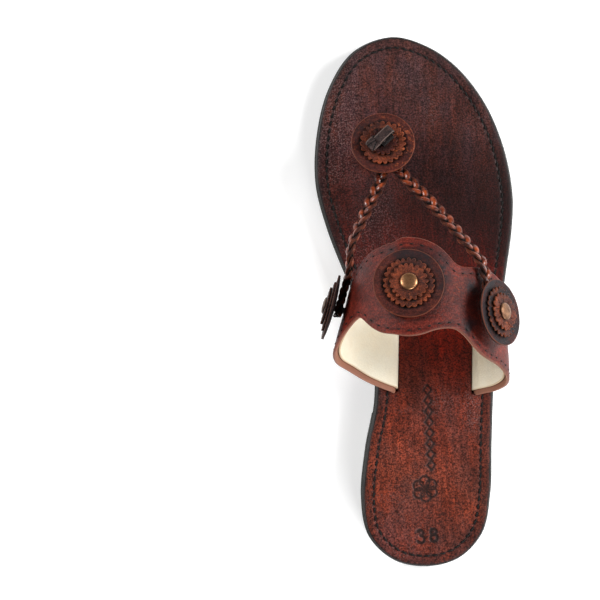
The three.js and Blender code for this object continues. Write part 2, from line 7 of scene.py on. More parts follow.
import bpy
import numpy as np
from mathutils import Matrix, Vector


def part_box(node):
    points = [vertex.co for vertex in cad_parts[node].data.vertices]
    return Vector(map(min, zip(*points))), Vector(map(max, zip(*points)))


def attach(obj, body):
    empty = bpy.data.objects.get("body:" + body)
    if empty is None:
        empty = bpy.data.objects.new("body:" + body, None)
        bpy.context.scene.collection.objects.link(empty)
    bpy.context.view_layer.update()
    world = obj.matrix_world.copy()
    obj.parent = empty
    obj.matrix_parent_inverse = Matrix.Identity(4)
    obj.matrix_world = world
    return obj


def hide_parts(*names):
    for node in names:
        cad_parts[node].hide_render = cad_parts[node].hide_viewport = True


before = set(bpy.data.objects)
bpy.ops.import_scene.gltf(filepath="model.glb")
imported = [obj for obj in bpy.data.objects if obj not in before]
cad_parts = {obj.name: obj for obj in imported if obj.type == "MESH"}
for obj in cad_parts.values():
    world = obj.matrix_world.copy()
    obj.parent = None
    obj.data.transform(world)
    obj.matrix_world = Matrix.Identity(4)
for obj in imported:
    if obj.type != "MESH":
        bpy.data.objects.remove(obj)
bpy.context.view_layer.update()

# ---------------------------------------------------------------- outsole
# A sheet of black rubber, 3.2 mm thick, moulded underneath with low wavy ribs inside a plain margin.
# It is cut to the sandal's outline and glued under the midsole.
SOLE_POINTS = [
    (3, 126.7), (-16, 121), (-29, 104.5), (-36.3, 83), (-38.7, 60), (-35.2, 39), (-29, 18), (-21.5, -3),
    (-17.8, -25), (-19, -46), (-25, -69), (-28.8, -92), (-26.8, -110), (-15.5, -122.5), (0, -126.7),
    (15.5, -123.8), (27.5, -112.6), (32.8, -94), (35.3, -70), (38, -46), (42, -18), (48.6, 8),
    (53.8, 32), (55.3, 48), (52.8, 70), (45.6, 91.5), (33.5, 109.7), (20, 120.8),
]
HEEL_HEIGHT = 7.0
HEEL_BREAST = -52.0
BALL_START = 24.0
TOE_START = 72.0
TOE_SPRING = 4.0
TOE_TIP = 126.7
OUTSOLE_THICKNESS = 3.2


def smooth_curve(points, count, closed=False):
    """A centripetal Catmull-Rom curve: between two points it is a cubic whose end slopes weigh the
    neighbouring chords by the square roots of their lengths. Returns points evenly spaced by length."""
    p = np.asarray(points, float)
    if closed:
        a, b, c, d = np.roll(p, 1, 0), p, np.roll(p, -1, 0), np.roll(p, -2, 0)
    else:
        ends = np.vstack([2 * p[0] - p[1], p, 2 * p[-1] - p[-2]])
        a, b, c, d = ends[:-3], ends[1:-2], ends[2:-1], ends[3:]
    before, along, after = (
        np.sqrt(np.linalg.norm(k, axis=1, keepdims=True)) for k in (b - a, c - b, d - c)
    )
    start = ((b - a) / before - (c - a) / (before + along) + (c - b) / along) * along
    stop = ((c - b) / along - (d - b) / (along + after) + (d - c) / after) * along
    t = np.linspace(0, 1, 80, endpoint=False)[None, :, None]
    b, c, start, stop = (k[:, None] for k in (b, c, start, stop))
    curve = b + t * start + t**2 * (3 * (c - b) - 2 * start - stop) + t**3 * (2 * (b - c) + start + stop)
    curve = np.vstack([curve.reshape(-1, p.shape[1]), p[:1] if closed else p[-1:]])
    return even_points(curve, count)


def unit(vectors):
    """Each vector divided by its length."""
    return vectors / np.linalg.norm(vectors, axis=-1, keepdims=True)


def lengths(curve):
    """The length along a line up to each of its points."""
    return np.concatenate([[0], np.cumsum(np.linalg.norm(np.diff(curve, axis=0), axis=1))])


def even_points(curve, count):
    """The same line drawn with count points, evenly spaced by its length."""
    length = lengths(curve)
    at = np.linspace(0, length[-1], count)
    return np.stack([np.interp(at, length, column) for column in curve.T], 1)


def step(value, low, high):
    """0 below low, 1 above high, and the cubic 3t^2 - 2t^3 between."""
    t = np.clip((value - low) / (high - low), 0, 1)
    return t * t * (3 - 2 * t)


def rise(y):
    """Height of the outsole's underside: the heel's height, falling to 0 at the ball, and a parabola
    that curls the toe up."""
    toe = np.maximum(0, (y - TOE_START) / (TOE_TIP - TOE_START))
    return HEEL_HEIGHT * (1 - step(y, HEEL_BREAST, BALL_START)) + TOE_SPRING * toe**2


def sole_edges(rows):
    """The outline's inner and outer sides from the toe's tip to the heel's end, and their inward normals."""
    loop = smooth_curve(SOLE_POINTS, 4001, closed=True)[:-1]
    loop = np.roll(loop, -int(np.argmax(loop[:, 1])), 0)
    heel = int(np.argmin(loop[:, 1]))
    inner = even_points(loop[: heel + 1], rows)
    outer = even_points(np.vstack([loop[heel:], loop[:1]]), rows)
    around = np.vstack([inner[:-1], outer[:-1]])
    tangent = np.roll(around, -1, 0) - np.roll(around, 1, 0)
    normal = unit(np.stack([-tangent[:, 1], tangent[:, 0]], 1))
    back = (len(around) - np.arange(rows)) % len(around)
    return around[:rows], normal[:rows], around[back], normal[back]


def rungs(rows, insets, columns, first=None):
    """A grid over the sole: rows run across from the inner edge to the outer one. It starts with lines
    that keep the given distances from the edge and fills the middle evenly. Returns x, y and the
    distance from the edge."""
    inner, inner_normal, outer, outer_normal = sole_edges(rows)
    if first is not None:
        keep = inner[:, 1] < first
        inner, inner_normal = inner[keep], inner_normal[keep]
        outer, outer_normal = outer[keep], outer_normal[keep]
    insets = np.asarray(insets, float)
    left = inner[:, None] + inner_normal[:, None] * insets[None, :, None]
    right = outer[:, None] + outer_normal[:, None] * insets[None, :, None]
    share = np.linspace(0, 1, columns + 1)[1:-1]
    middle = left[:, -1:] + (right[:, -1:] - left[:, -1:]) * share[None, :, None]
    width = np.linalg.norm(right[:, -1] - left[:, -1], axis=1)[:, None]
    edge = np.concatenate(
        [
            np.repeat(insets[None], len(left), 0),
            insets[-1] + width * np.minimum(share, 1 - share)[None],
            np.repeat(insets[None, ::-1], len(left), 0),
        ],
        1,
    )
    grid = np.concatenate([left, middle, right[:, ::-1]], 1)
    return grid[..., 0], grid[..., 1], edge


def grid_faces(index, flip=False):
    """Quads of a grid of vertex numbers."""
    quads = np.stack([index[:-1, :-1], index[1:, :-1], index[1:, 1:], index[:-1, 1:]], -1).reshape(-1, 4)
    return quads[:, ::-1] if flip else quads


def round_index(rows, count):
    """Vertex numbers of rows of count points, each row closed on itself."""
    return np.arange(rows)[:, None] * count + (np.arange(count + 1) % count)[None]


def shell(top, bottom, ends=False):
    """A closed skin between two grids of points: both grids, and walls that join their sides."""
    over = np.arange(top.shape[0] * top.shape[1]).reshape(top.shape[:2])
    under = over.size + np.arange(bottom.shape[0] * bottom.shape[1]).reshape(bottom.shape[:2])
    faces = [
        grid_faces(over),
        grid_faces(under, flip=True),
        grid_faces(np.stack([under[:, 0], over[:, 0]], 1)),
        grid_faces(np.stack([over[:, -1], under[:, -1]], 1)),
    ]
    if ends:
        faces.append(grid_faces(np.stack([under[0], over[0]], 0)))
        faces.append(grid_faces(np.stack([over[-1], under[-1]], 0)))
    return np.concatenate([top.reshape(-1, 3), bottom.reshape(-1, 3)]), np.concatenate(faces)


edge_line = smooth_curve(SOLE_POINTS, 4001, closed=True)
outsole_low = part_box("outsole")[0]
SHIFT = np.array(
    [outsole_low.x * 1000 - edge_line[:, 0].min(), outsole_low.y * 1000 - edge_line[:, 1].min(), 0.0]
)


def piece(name, points, faces, material, body, replaces=(), marks=None, flat=False):
    """Makes one named mesh from points in millimetres and quads, welds doubled points, shades it
    smooth, ties it to its body, and hides the CAD nodes that it stands for."""
    mesh = bpy.data.meshes.new(name)
    points = (np.asarray(points, float) + SHIFT) * 0.001
    key = np.round(points / 2e-6).astype(np.int64)
    _, first, where = np.unique(key, axis=0, return_index=True, return_inverse=True)
    where = where.reshape(-1)
    faces = where[np.asarray(faces)]
    same = faces == np.roll(faces, -1, 1)
    whole = faces[~same.any(1)]
    narrow = faces[same.sum(1) == 1]
    drop = np.argmax(narrow == np.roll(narrow, -1, 1), 1) if len(narrow) else np.zeros(0, int)
    keep = np.ones(narrow.shape, bool)
    keep[np.arange(len(narrow)), drop] = False
    triangles = narrow[keep].reshape(-1, 3)
    triangles = triangles[(triangles != np.roll(triangles, -1, 1)).all(1)]
    welded = points[first]
    corners = np.concatenate([triangles, whole[:, :3], whole[:, [0, 2, 3]]]) if len(whole) else triangles
    a, b, c = (welded[corners[:, k]] for k in range(3))
    if (a * np.cross(b, c)).sum() < 0:
        whole, triangles = whole[:, ::-1], triangles[:, ::-1]
    mesh.from_pydata(welded, [], whole.tolist() + triangles.tolist())
    for mark, values in (marks or {}).items():
        layer = mesh.attributes.new(mark, "FLOAT", "POINT")
        layer.data.foreach_set("value", np.asarray(values, np.float32).reshape(-1)[first])
    mesh.polygons.foreach_set("use_smooth", np.full(len(mesh.polygons), not flat))
    mesh.materials.append(material)
    mesh.update()
    made = bpy.data.objects.new(name, mesh)
    bpy.context.scene.collection.objects.link(made)
    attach(made, body)
    if replaces:
        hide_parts(*replaces)
    return made


def colour(red, green, blue):
    """A display colour of 0 to 255 as the linear RGBA that a shader reads."""
    c = np.array([red, green, blue]) / 255
    linear = np.where(c <= 0.04045, c / 12.92, ((c + 0.055) / 1.055) ** 2.4)
    return (*linear.tolist(), 1.0)


def node(tree, kind, inputs=None, **settings):
    """Adds a shader node. inputs maps a socket's name or number to a value or to another socket."""
    made = tree.nodes.new(kind)
    for key, value in settings.items():
        setattr(made, key, value)
    for key, value in (inputs or {}).items():
        if isinstance(value, bpy.types.NodeSocket):
            tree.links.new(value, made.inputs[key])
        else:
            made.inputs[key].default_value = value
    return made


def math_node(tree, operation, a, b=0.0, clamp=False):
    """One operation on two values, clamped to 0 and 1 if asked."""
    return node(tree, "ShaderNodeMath", {0: a, 1: b}, operation=operation, use_clamp=clamp).outputs[0]


def times(tree, *factors):
    """The product of several values."""
    product = factors[0]
    for factor in factors[1:]:
        product = math_node(tree, "MULTIPLY", product, factor)
    return product


def scaled(tree, vector, factor):
    """A vector or colour times a value."""
    made = node(tree, "ShaderNodeVectorMath", {0: vector, 3: factor}, operation="SCALE")
    return made.outputs[0]


def mix_colour(tree, share, a, b, blend="MIX"):
    """Colour a where share is 0, going over to b where it is 1."""
    made = node(tree, "ShaderNodeMix", {0: share, 6: a, 7: b}, data_type="RGBA", blend_type=blend)
    return made.outputs[2]


def scaled_noise(tree, position, scale, detail=4.0, roughness=0.55, stretch=None):
    """Noise on Object coordinates; stretch scales each axis."""
    if stretch:
        position = node(tree, "ShaderNodeMapping", {0: position, 3: stretch}, vector_type="POINT").outputs[0]
    inputs = {"Vector": position, "Scale": scale, "Detail": detail, "Roughness": roughness}
    return node(tree, "ShaderNodeTexNoise", inputs).outputs[0]


def remap(tree, value, low, high, to_low=0.0, to_high=1.0):
    """A straight line from to_low at low to to_high at high, level outside them."""
    return node(tree, "ShaderNodeMapRange", {0: value, 1: low, 2: high, 3: to_low, 4: to_high}).outputs[0]


def new_material(name):
    """An empty Principled material, its node tree, its shader node and its Object coordinates."""
    made = bpy.data.materials.new(name)
    made.use_nodes = True
    tree = made.node_tree
    shader = tree.nodes["Principled BSDF"]
    position = node(tree, "ShaderNodeTexCoord").outputs["Object"]
    return made, tree, shader, position


def finish_shader(tree, shader, tone, roughness, height, strength, distance, specular=None):
    """Feeds a colour and a roughness to the shader, and a bump of the given strength and distance."""
    tree.links.new(tone, shader.inputs["Base Color"])
    tree.links.new(roughness, shader.inputs["Roughness"])
    made = node(tree, "ShaderNodeBump", {"Height": height, "Strength": strength, "Distance": distance})
    tree.links.new(made.outputs[0], shader.inputs["Normal"])
    if specular is not None:
        shader.inputs["Specular IOR Level"].default_value = specular


def rubber_material(name, base, dusty):
    """Moulded rubber: fine pitted grain, uneven bloom and a dull surface."""
    made, tree, shader, position = new_material(name)
    bloom = remap(tree, scaled_noise(tree, position, 60, 6), 0.35, 0.7, 0.3, 0.65)
    pits = scaled_noise(tree, position, 2600, 3, 0.7)
    dull = remap(tree, pits, 0.3, 0.7, 0.62, 0.86)
    finish_shader(tree, shader, mix_colour(tree, bloom, base, dusty), dull, pits, 0.35, 0.0001, 0.35)
    return made


RIB_PITCH = 1.8
RIB_DEPTH = 0.4
SOLE_MARGIN = 3.0


def wavy_ribs(x, y, edge):
    """Grooves between ribs: half a cosine of pitch 1.8 mm across lines that a few sines bend to and
    fro, fading out towards the margin."""
    bend = 2.2 * np.sin(x / 6.3 + 1.1 * np.sin(y / 11)) + 1.3 * np.sin(x / 2.9 - y / 8.7) + 0.25 * x
    wave = 0.5 + 0.5 * np.cos(2 * np.pi * (y + bend) / RIB_PITCH)
    return RIB_DEPTH * wave * step(edge, SOLE_MARGIN, SOLE_MARGIN + 1.2)


outsole_rubber = rubber_material("outsole_rubber", colour(34, 34, 33), colour(54, 55, 52))
x, y, edge = rungs(621, [0, 0.25, 0.7, 1.6, 3.0], 112)
under_edge = np.interp(edge, [0, 0.25, 0.7], [0.6, 0.15, 0.0])
under = np.stack([x, y, rise(y) + under_edge + wavy_ribs(x, y, edge)], -1)
x, y, edge = rungs(621, [0, 0.3, 1.2], 8)
over = np.stack([x, y, rise(y) + OUTSOLE_THICKNESS - np.interp(edge, [0, 0.3], [0.4, 0])], -1)
points, faces = shell(over, under)
piece("outsole", points, faces, outsole_rubber, "sandal", ["outsole"])

# ---------------------------------------------------------------- heel lift
# A 7 mm block of black rubber under the heel, cut flush with the outsole. Its tread is a grid of thin
# raised lines that run along both diagonals.
GRID_PITCH = 1.9
GRID_LINE = 0.34


def crossed_grid(x, y, edge):
    """Depth below the lines: 0 on two sets of diagonal lines, and even between them."""
    sides = []
    for across in ((x + y) / math.sqrt(2), (x - y) / math.sqrt(2)):
        sides.append(np.abs((across / GRID_PITCH + 0.5) % 1 - 0.5) * GRID_PITCH)
    nearest = np.minimum(*sides)
    return 0.3 * step(nearest, GRID_LINE * 0.5, GRID_LINE * 1.3) * step(edge, 0.8, 1.4)


heel_rubber = rubber_material("heel_rubber", colour(36, 37, 35), colour(57, 58, 55))
x, y, edge = rungs(621, [0, 0.25, 0.8, 1.4], 150, first=HEEL_BREAST)
bevel = np.interp(np.minimum(edge, HEEL_BREAST - y), [0, 0.4], [0.4, 0])
under = np.stack([x, y, bevel + crossed_grid(x, y, np.minimum(edge, HEEL_BREAST - y))], -1)
over = np.stack([x, y, np.full_like(x, HEEL_HEIGHT - 0.25)], -1)
points, faces = shell(over, under, ends=True)
piece("heel_lift", points, faces, heel_rubber, "sandal", ["heel_lift"])

# ---------------------------------------------------------------- midsole
# Fibre board between the insole and the outsole, its edge trimmed with them, dyed black and waxed.
MIDSOLE_LEVEL = OUTSOLE_THICKNESS + 0.1
MIDSOLE_THICKNESS = 3.0


def edge_dye_material(name):
    """Waxed black edge dye over fibre: fine lengthwise fibres and patches of wear."""
    made, tree, shader, position = new_material(name)
    fibres = scaled_noise(tree, position, 900, 5, 0.7, stretch=(1, 1, 5))
    wear = remap(tree, scaled_noise(tree, position, 140, 5), 0.55, 0.75)
    dyed = mix_colour(tree, remap(tree, fibres, 0.35, 0.7), colour(14, 12, 11), colour(34, 29, 26))
    worn = mix_colour(tree, times(tree, wear, 0.5), dyed, colour(60, 40, 32))
    finish_shader(tree, shader, worn, remap(tree, fibres, 0.3, 0.7, 0.42, 0.62), fibres, 0.5, 0.0002)
    return made


edge_dye = edge_dye_material("edge_dye")
x, y, edge = rungs(421, [0.5, 0.9], 8)
round_off = np.interp(edge, [0.5, 0.9], [0.35, 0])
over = np.stack([x, y, rise(y) + MIDSOLE_LEVEL + MIDSOLE_THICKNESS - round_off], -1)
under = np.stack([x, y, rise(y) + MIDSOLE_LEVEL + round_off], -1)
points, faces = shell(over, under)
piece("midsole", points, faces, edge_dye, "sandal", ["midsole"])

# ---------------------------------------------------------------- insole
# 3.2 mm vegetable-tanned leather, burnished by hand so that it is darker under the toes and lighter at
# the heel. Its edge is rounded and dyed black. A size, a row of diamonds and a floret are pressed into
# the heel, and two slots and a hole take the vamp's ends and the toe post.
INSOLE_EDGE = 1.1
INSOLE_LEVEL = MIDSOLE_LEVEL + MIDSOLE_THICKNESS + 0.1
FOOTBED_LEVEL = 9.6
SEAM_INSET = 5.75
PRESS_DEPTH = 0.45
FLORET_X, FLORET_Y = 1.6, -89.2
FLORET_REACH = 3.5
PETAL_RADIUS = 2.4
DIAMOND_X, DIAMOND_Y = 6.4, -42.5
DIAMOND_STEP_X, DIAMOND_STEP_Y = -0.15, -5.1
DIAMOND_HALF_WIDTH, DIAMOND_HALF_LENGTH = 1.9, 2.3
DIAMOND_SLOPE = 1.46
THREE_X, EIGHT_X = -2.4, 3.9
UPPER_ARC_Y = -109.8
DIGIT_BOLDNESS = 0.22
INNER_SLOT = (-7.7, -42.3, -11.4)
OUTER_SLOT = (30.3, -46.1, -13.9)
SLOT_LEAN = 0.1
SLOT_MIDDLE = -29.0
SLOT_HALF_WIDTH = 1.5
TOE_HOLE = (-6.3, 67.0)
TOE_HOLE_RADIUS = 3.6
# Spots of pale dusty haze near the slots, where the flecks of painted sheen gather: middle x and y, reach in
# x and y, strength.
DUST_AND_SHEEN_SPOTS = [(-6, -51, 5, 13, 1.0), (27, -52, 4, 10, 0.9), (11, -48, 9, 8, 0.45)]


def arc_distance(x, y, centre, radius, start=-180.0, stop=180.0):
    """Distance to an arc of a circle, from angle start to angle stop in degrees."""
    dx, dy = x - centre[0], y - centre[1]
    away = np.abs(np.hypot(dx, dy) - radius)
    angle = np.degrees(np.arctan2(dy, dx))
    ends = [
        np.hypot(dx - radius * math.cos(math.radians(a)), dy - radius * math.sin(math.radians(a)))
        for a in (start, stop)
    ]
    return np.where((angle >= start) & (angle <= stop), away, np.minimum(*ends))


def tool_marks(x, y):
    """Distance to the nearest pressed line: a 3 and an 8, each of two arcs, a row of diamonds, and a
    floret of six circles about a dot."""
    digits = [
        arc_distance(x, y, (THREE_X, UPPER_ARC_Y), 1.35, -80, 150),
        arc_distance(x, y, (THREE_X, UPPER_ARC_Y - 3.1), 1.65, -150, 85),
        arc_distance(x, y, (EIGHT_X, UPPER_ARC_Y), 1.3),
        arc_distance(x, y, (EIGHT_X, UPPER_ARC_Y - 3.0), 1.6),
    ]
    near = [np.maximum(np.hypot(x - FLORET_X, y - FLORET_Y) - 0.7, 0)]
    for k in range(6):
        petal = math.radians(60 * k + 30)
        middle = (FLORET_X + FLORET_REACH * math.cos(petal), FLORET_Y + FLORET_REACH * math.sin(petal))
        near.append(arc_distance(x, y, middle, PETAL_RADIUS))
    for k in range(8):
        across = np.abs(x - DIAMOND_X - DIAMOND_STEP_X * k) / DIAMOND_HALF_WIDTH
        along = np.abs(y - DIAMOND_Y - DIAMOND_STEP_Y * k) / DIAMOND_HALF_LENGTH
        near.append(np.abs(across + along - 1) * DIAMOND_SLOPE)
    return np.minimum(np.minimum.reduce(near), np.minimum.reduce(digits) - DIGIT_BOLDNESS)


def slot_depth(x, y, slot):
    """0 to 1 inside a slot that leans a little across the sandal."""
    middle, rear, front = slot
    across = np.abs(x - middle - SLOT_LEAN * (y - SLOT_MIDDLE))
    inside = step(SLOT_HALF_WIDTH - across, -0.2, 0.3)
    return inside * step(y, rear, rear + 0.5) * step(front - y, 0, 0.5)


def footbed(y):
    """Height of the insole's top face, which keeps its distance from the outsole's underside."""
    return rise(y) + FOOTBED_LEVEL


def spots(points, places):
    """A sum of Gaussian spots, each given by its middle, its reach in x and y, and its strength."""
    return sum(
        share * np.exp(-(((points[..., 0] - x) / across) ** 2) - ((points[..., 1] - y) / along) ** 2)
        for x, y, across, along, share in places
    )


def insole_top(x, y, edge):
    """The footbed less a groove under the seam, the pressed marks, the two slots and the toe hole, and
    a slow unevenness of a few sines."""
    round_off = np.interp(edge - INSOLE_EDGE, [0, 0.12, 0.4, 0.9, 1.8], [1.2, 0.62, 0.26, 0.07, 0])
    seam = 0.32 * np.exp(-(((edge - SEAM_INSET) / 0.5) ** 2))
    pressed = PRESS_DEPTH * (1 - step(tool_marks(x, y), 0.3, 0.75))
    slots = 2.6 * np.maximum(slot_depth(x, y, INNER_SLOT), slot_depth(x, y, OUTER_SLOT))
    hole = 2.4 * step(TOE_HOLE_RADIUS - np.hypot(x - TOE_HOLE[0], y - TOE_HOLE[1]), -0.3, 0.3)
    uneven = 0.07 * np.sin(x / 7.1 + y / 23) + 0.06 * np.sin(y / 13.7 - x / 19)
    inside = step(edge, 1.5, 9)
    return footbed(y) - round_off - seam - pressed - slots - hole + (uneven - 0.13) * inside


def leather_grain_group():
    """Pebbled grain of tanned hide: bent cells with finer wrinkles over them, and pores between them.
    Puts out the height of the grain, the pores and a tone for mottling."""
    group = bpy.data.node_groups.new("leather_grain", "ShaderNodeTree")
    group.interface.new_socket("Position", in_out="INPUT", socket_type="NodeSocketVector")
    group.interface.new_socket("Cells", in_out="INPUT", socket_type="NodeSocketFloat")
    for out in ("Height", "Pores", "Tone"):
        group.interface.new_socket(out, in_out="OUTPUT", socket_type="NodeSocketFloat")
    ins = group.nodes.new("NodeGroupInput")
    outs = group.nodes.new("NodeGroupOutput")
    position, cells = ins.outputs["Position"], ins.outputs["Cells"]
    warp = node(group, "ShaderNodeTexNoise", {"Vector": position, "Scale": cells, "Detail": 2.0})
    shifted = scaled(group, warp.outputs["Color"], 0.0006)
    bent = node(group, "ShaderNodeVectorMath", {0: position, 1: shifted}, operation="ADD").outputs[0]
    pebbles = node(
        group, "ShaderNodeTexVoronoi", {"Vector": bent, "Scale": cells}, feature="DISTANCE_TO_EDGE"
    )
    wrinkles = scaled_noise(group, bent, times(group, cells, 2.3), 5.0, 0.7)
    pebble = remap(group, pebbles.outputs["Distance"], 0.0, 0.22)
    height = math_node(group, "ADD", times(group, pebble, 0.55), wrinkles)
    group.links.new(height, outs.inputs["Height"])
    group.links.new(remap(group, pebbles.outputs["Distance"], 0.0, 0.12), outs.inputs["Pores"])
    group.links.new(scaled_noise(group, position, 55.0, 8.0, 0.72), outs.inputs["Tone"])
    return group


leather_grain = leather_grain_group()


def grain_node(tree, position, cells):
    """The leather grain at the given number of cells per metre."""
    made = tree.nodes.new("ShaderNodeGroup")
    made.node_tree = leather_grain
    tree.links.new(position, made.inputs["Position"])
    made.inputs["Cells"].default_value = cells
    return made.outputs


def attribute(tree, name):
    """The value of one of the marks that a piece's mesh carries."""
    return node(tree, "ShaderNodeAttribute", attribute_name=name).outputs["Fac"]


def insole_material():
    """Burnished footbed: colour runs from red-brown at the heel to near black-brown at the ball, with
    lengthwise streaks and speckled grain. The left side is painted lighter and the right darker, as if lit
    from the left, and pale flecks of painted sheen sit on the grain, most on the left, towards the toe and
    at the mark dust_and_sheen. The edge and marks are darkened, and the slots and the toe hole get
    painted shade."""
    made, tree, shader, position = new_material("insole_leather")
    grain = grain_node(tree, position, 1150)
    across, along, _ = node(tree, "ShaderNodeSeparateXYZ", {0: position}).outputs
    drift = times(tree, math_node(tree, "SUBTRACT", scaled_noise(tree, position, 14, 5), 0.5), 0.075)
    place = remap(tree, math_node(tree, "ADD", along, drift), -0.127, 0.127)
    ramp = node(tree, "ShaderNodeValToRGB", {0: place})
    stops = [
        (0.0, colour(70, 29, 24)), (0.14, colour(87, 36, 24)), (0.36, colour(82, 32, 23)),
        (0.46, colour(94, 17, 7)), (0.54, colour(56, 10, 6)), (0.66, colour(38, 9, 7)),
        (0.84, colour(56, 27, 25)), (1.0, colour(62, 34, 32)),
    ]
    while len(ramp.color_ramp.elements) < len(stops):
        ramp.color_ramp.elements.new(0.5)
    for element, (at, tint) in zip(ramp.color_ramp.elements, stops):
        element.position = at
        element.color = tint
    streaks = scaled_noise(tree, position, 260, 6, 0.7, stretch=(1.6, 0.22, 1))
    blotches = scaled_noise(tree, position, 38, 7, 0.65)
    speckle = scaled_noise(tree, position, 1250, 3, 0.7)
    # Painted light: side makes the left of the footbed lighter and the right darker, as if lit from the left.
    side = remap(tree, across, -0.045, 0.03, 1.45, 0.85)
    shade = times(
        tree,
        remap(tree, streaks, 0.32, 0.7, 0.5, 1.5),
        remap(tree, blotches, 0.32, 0.7, 0.65, 1.3),
        remap(tree, speckle, 0.38, 0.62, 0.2, 1.8),
        remap(tree, grain["Pores"], 0, 1, 0.7, 1.05),
        side,
    )
    warmth = scaled_noise(tree, position, 75, 5, 0.7, stretch=(1.4, 0.5, 1))
    tint = mix_colour(tree, remap(tree, warmth, 0.4, 0.62), (0.84, 1.1, 1.3, 1), (1.2, 1.03, 0.78, 1))
    lit = scaled(tree, mix_colour(tree, 1.0, ramp.outputs[0], tint, "MULTIPLY"), shade)
    # Painted sheen: pale flecks on the grain, most on the left, towards the toe and at the spots of
    # dust_and_sheen.
    sheen_specks = remap(tree, scaled_noise(tree, position, 1500, 2, 0.6), 0.52, 0.62)
    dusty = remap(tree, scaled_noise(tree, position, 30, 4, 0.6), 0.42, 0.6)
    reach = math_node(
        tree, "MAXIMUM", remap(tree, side, 1.1, 1.45, 0.03, 0.75), remap(tree, along, 0.065, 0.1, 0, 0.4)
    )
    reach = math_node(tree, "MAXIMUM", reach, attribute(tree, "dust_and_sheen"))
    lit = mix_colour(tree, times(tree, sheen_specks, times(tree, dusty, reach)), lit, colour(132, 98, 96))
    dark = attribute(tree, "dark")
    lit = mix_colour(tree, dark, lit, colour(10, 8, 7))
    gloss = remap(tree, grain["Height"], 0.3, 1.1, 0.32, 0.46)
    gloss = math_node(tree, "ADD", gloss, times(tree, dark, 0.15))
    finish_shader(tree, shader, lit, gloss, grain["Height"], 0.45, 0.0002, 0.16)
    return made


insole_leather = insole_material()
insets = [INSOLE_EDGE + k for k in (0, 0.12, 0.4, 0.9, 1.8, 3.2)]
insets += [4.9, 5.25, 5.5, 5.75, 6.0, 6.25, 6.7, 7.6]
x, y, edge = rungs(601, insets, 108)
over = np.stack([x, y, insole_top(x, y, edge)], -1)
uneven = 0.25 * np.sin(y / 3.1) * np.sin(y / 7.7)
near_edge = 1 - step(edge + uneven, INSOLE_EDGE + 0.1, INSOLE_EDGE + 1.2)
border = 0.42 * np.exp(-(edge - INSOLE_EDGE) / 3.2)
seam_dark = 0.55 * np.exp(-(((edge - SEAM_INSET) / 0.75) ** 2))
pressed_dark = 0.85 * (1 - step(tool_marks(x, y), 0.25, 0.8))
# Painted shade in the slots beside the vamp's ends and in the hole round the toe post.
slot_shade = 0.4 * np.maximum(slot_depth(x, y, INNER_SLOT), slot_depth(x, y, OUTER_SLOT))
hole_shade = step(TOE_HOLE_RADIUS + 0.4 - np.hypot(x - TOE_HOLE[0], y - TOE_HOLE[1]), -0.4, 0.4)
dark = np.maximum.reduce([near_edge, border, seam_dark, pressed_dark, slot_shade, hole_shade])
x, y, edge = rungs(601, [INSOLE_EDGE, INSOLE_EDGE + 0.4, 3.2], 6)
round_off = np.interp(edge - INSOLE_EDGE, [0, 0.4], [0.5, 0])
under = np.stack([x, y, rise(y) + INSOLE_LEVEL + round_off], -1)
points, faces = shell(over, under)
dust_and_sheen = np.minimum(spots(over, DUST_AND_SHEEN_SPOTS), 1)
marks = {
    mark: np.concatenate([values.reshape(-1), np.ones(under.shape[0] * under.shape[1])])
    for mark, values in (("dark", dark), ("dust_and_sheen", dust_and_sheen))
}
piece("insole", points, faces, insole_leather, "sandal", ["insole"], marks)

# ---------------------------------------------------------------- insole stitching
# Waxed black thread, sewn by hand through awl holes all round the footbed, 5.75 mm inside its edge.
STITCH_PITCH = 3.7
STITCH_LENGTH = 3.1
STITCH_SLANT = 0.28
STITCH_RADIUS = 0.46


def thread_material():
    """Waxed linen thread: a fine uneven twist and a dull shine."""
    made, tree, shader, position = new_material("waxed_thread")
    twist = scaled_noise(tree, position, 3000, 2)
    tone = mix_colour(tree, twist, colour(5, 5, 5), colour(19, 18, 15))
    finish_shader(tree, shader, tone, remap(tree, twist, 0.3, 0.7, 0.5, 0.68), twist, 0.4, 0.00008, 0.2)
    return made


def stitch_row(starts, stops, ups, radius, hump, sink):
    """Short threads between pairs of points: rings of six points along each, which rise by hump as
    half a sine and sink at both ends, and thin out there."""
    t = np.linspace(0, 1, 8)[None, :, None]
    along = stops - starts
    side = unit(np.cross(along, ups))
    arch = np.sin(np.pi * t) ** 0.6
    middle = starts[:, None] + along[:, None] * t + ups[:, None] * (hump * arch - sink * (1 - arch))
    around = np.linspace(0, 2 * np.pi, 7)[:-1]
    ring = side[:, None, :] * np.cos(around)[None, :, None] + ups[:, None, :] * np.sin(around)[None, :, None]
    thick = radius * (0.35 + 0.65 * arch)
    points = middle[:, :, None, :] + ring[:, None] * thick[..., None]
    rings = points.shape[1]
    base = np.arange(points.shape[0]) * rings * 6
    a = base[:, None, None] + np.arange(rings - 1)[None, :, None] * 6 + np.arange(6)
    b = base[:, None, None] + np.arange(rings - 1)[None, :, None] * 6 + (np.arange(6) + 1) % 6
    faces = [np.stack([a, b, b + 6, a + 6], -1).reshape(-1, 4)]
    last = base + (rings - 1) * 6
    for end, caps in ((base, [(3, 2, 1, 0), (0, 5, 4, 3)]), (last, [(0, 1, 2, 3), (3, 4, 5, 0)])):
        faces += [end[:, None] + np.array(order) for order in caps]
    return points.reshape(-1, 3), np.concatenate(faces)


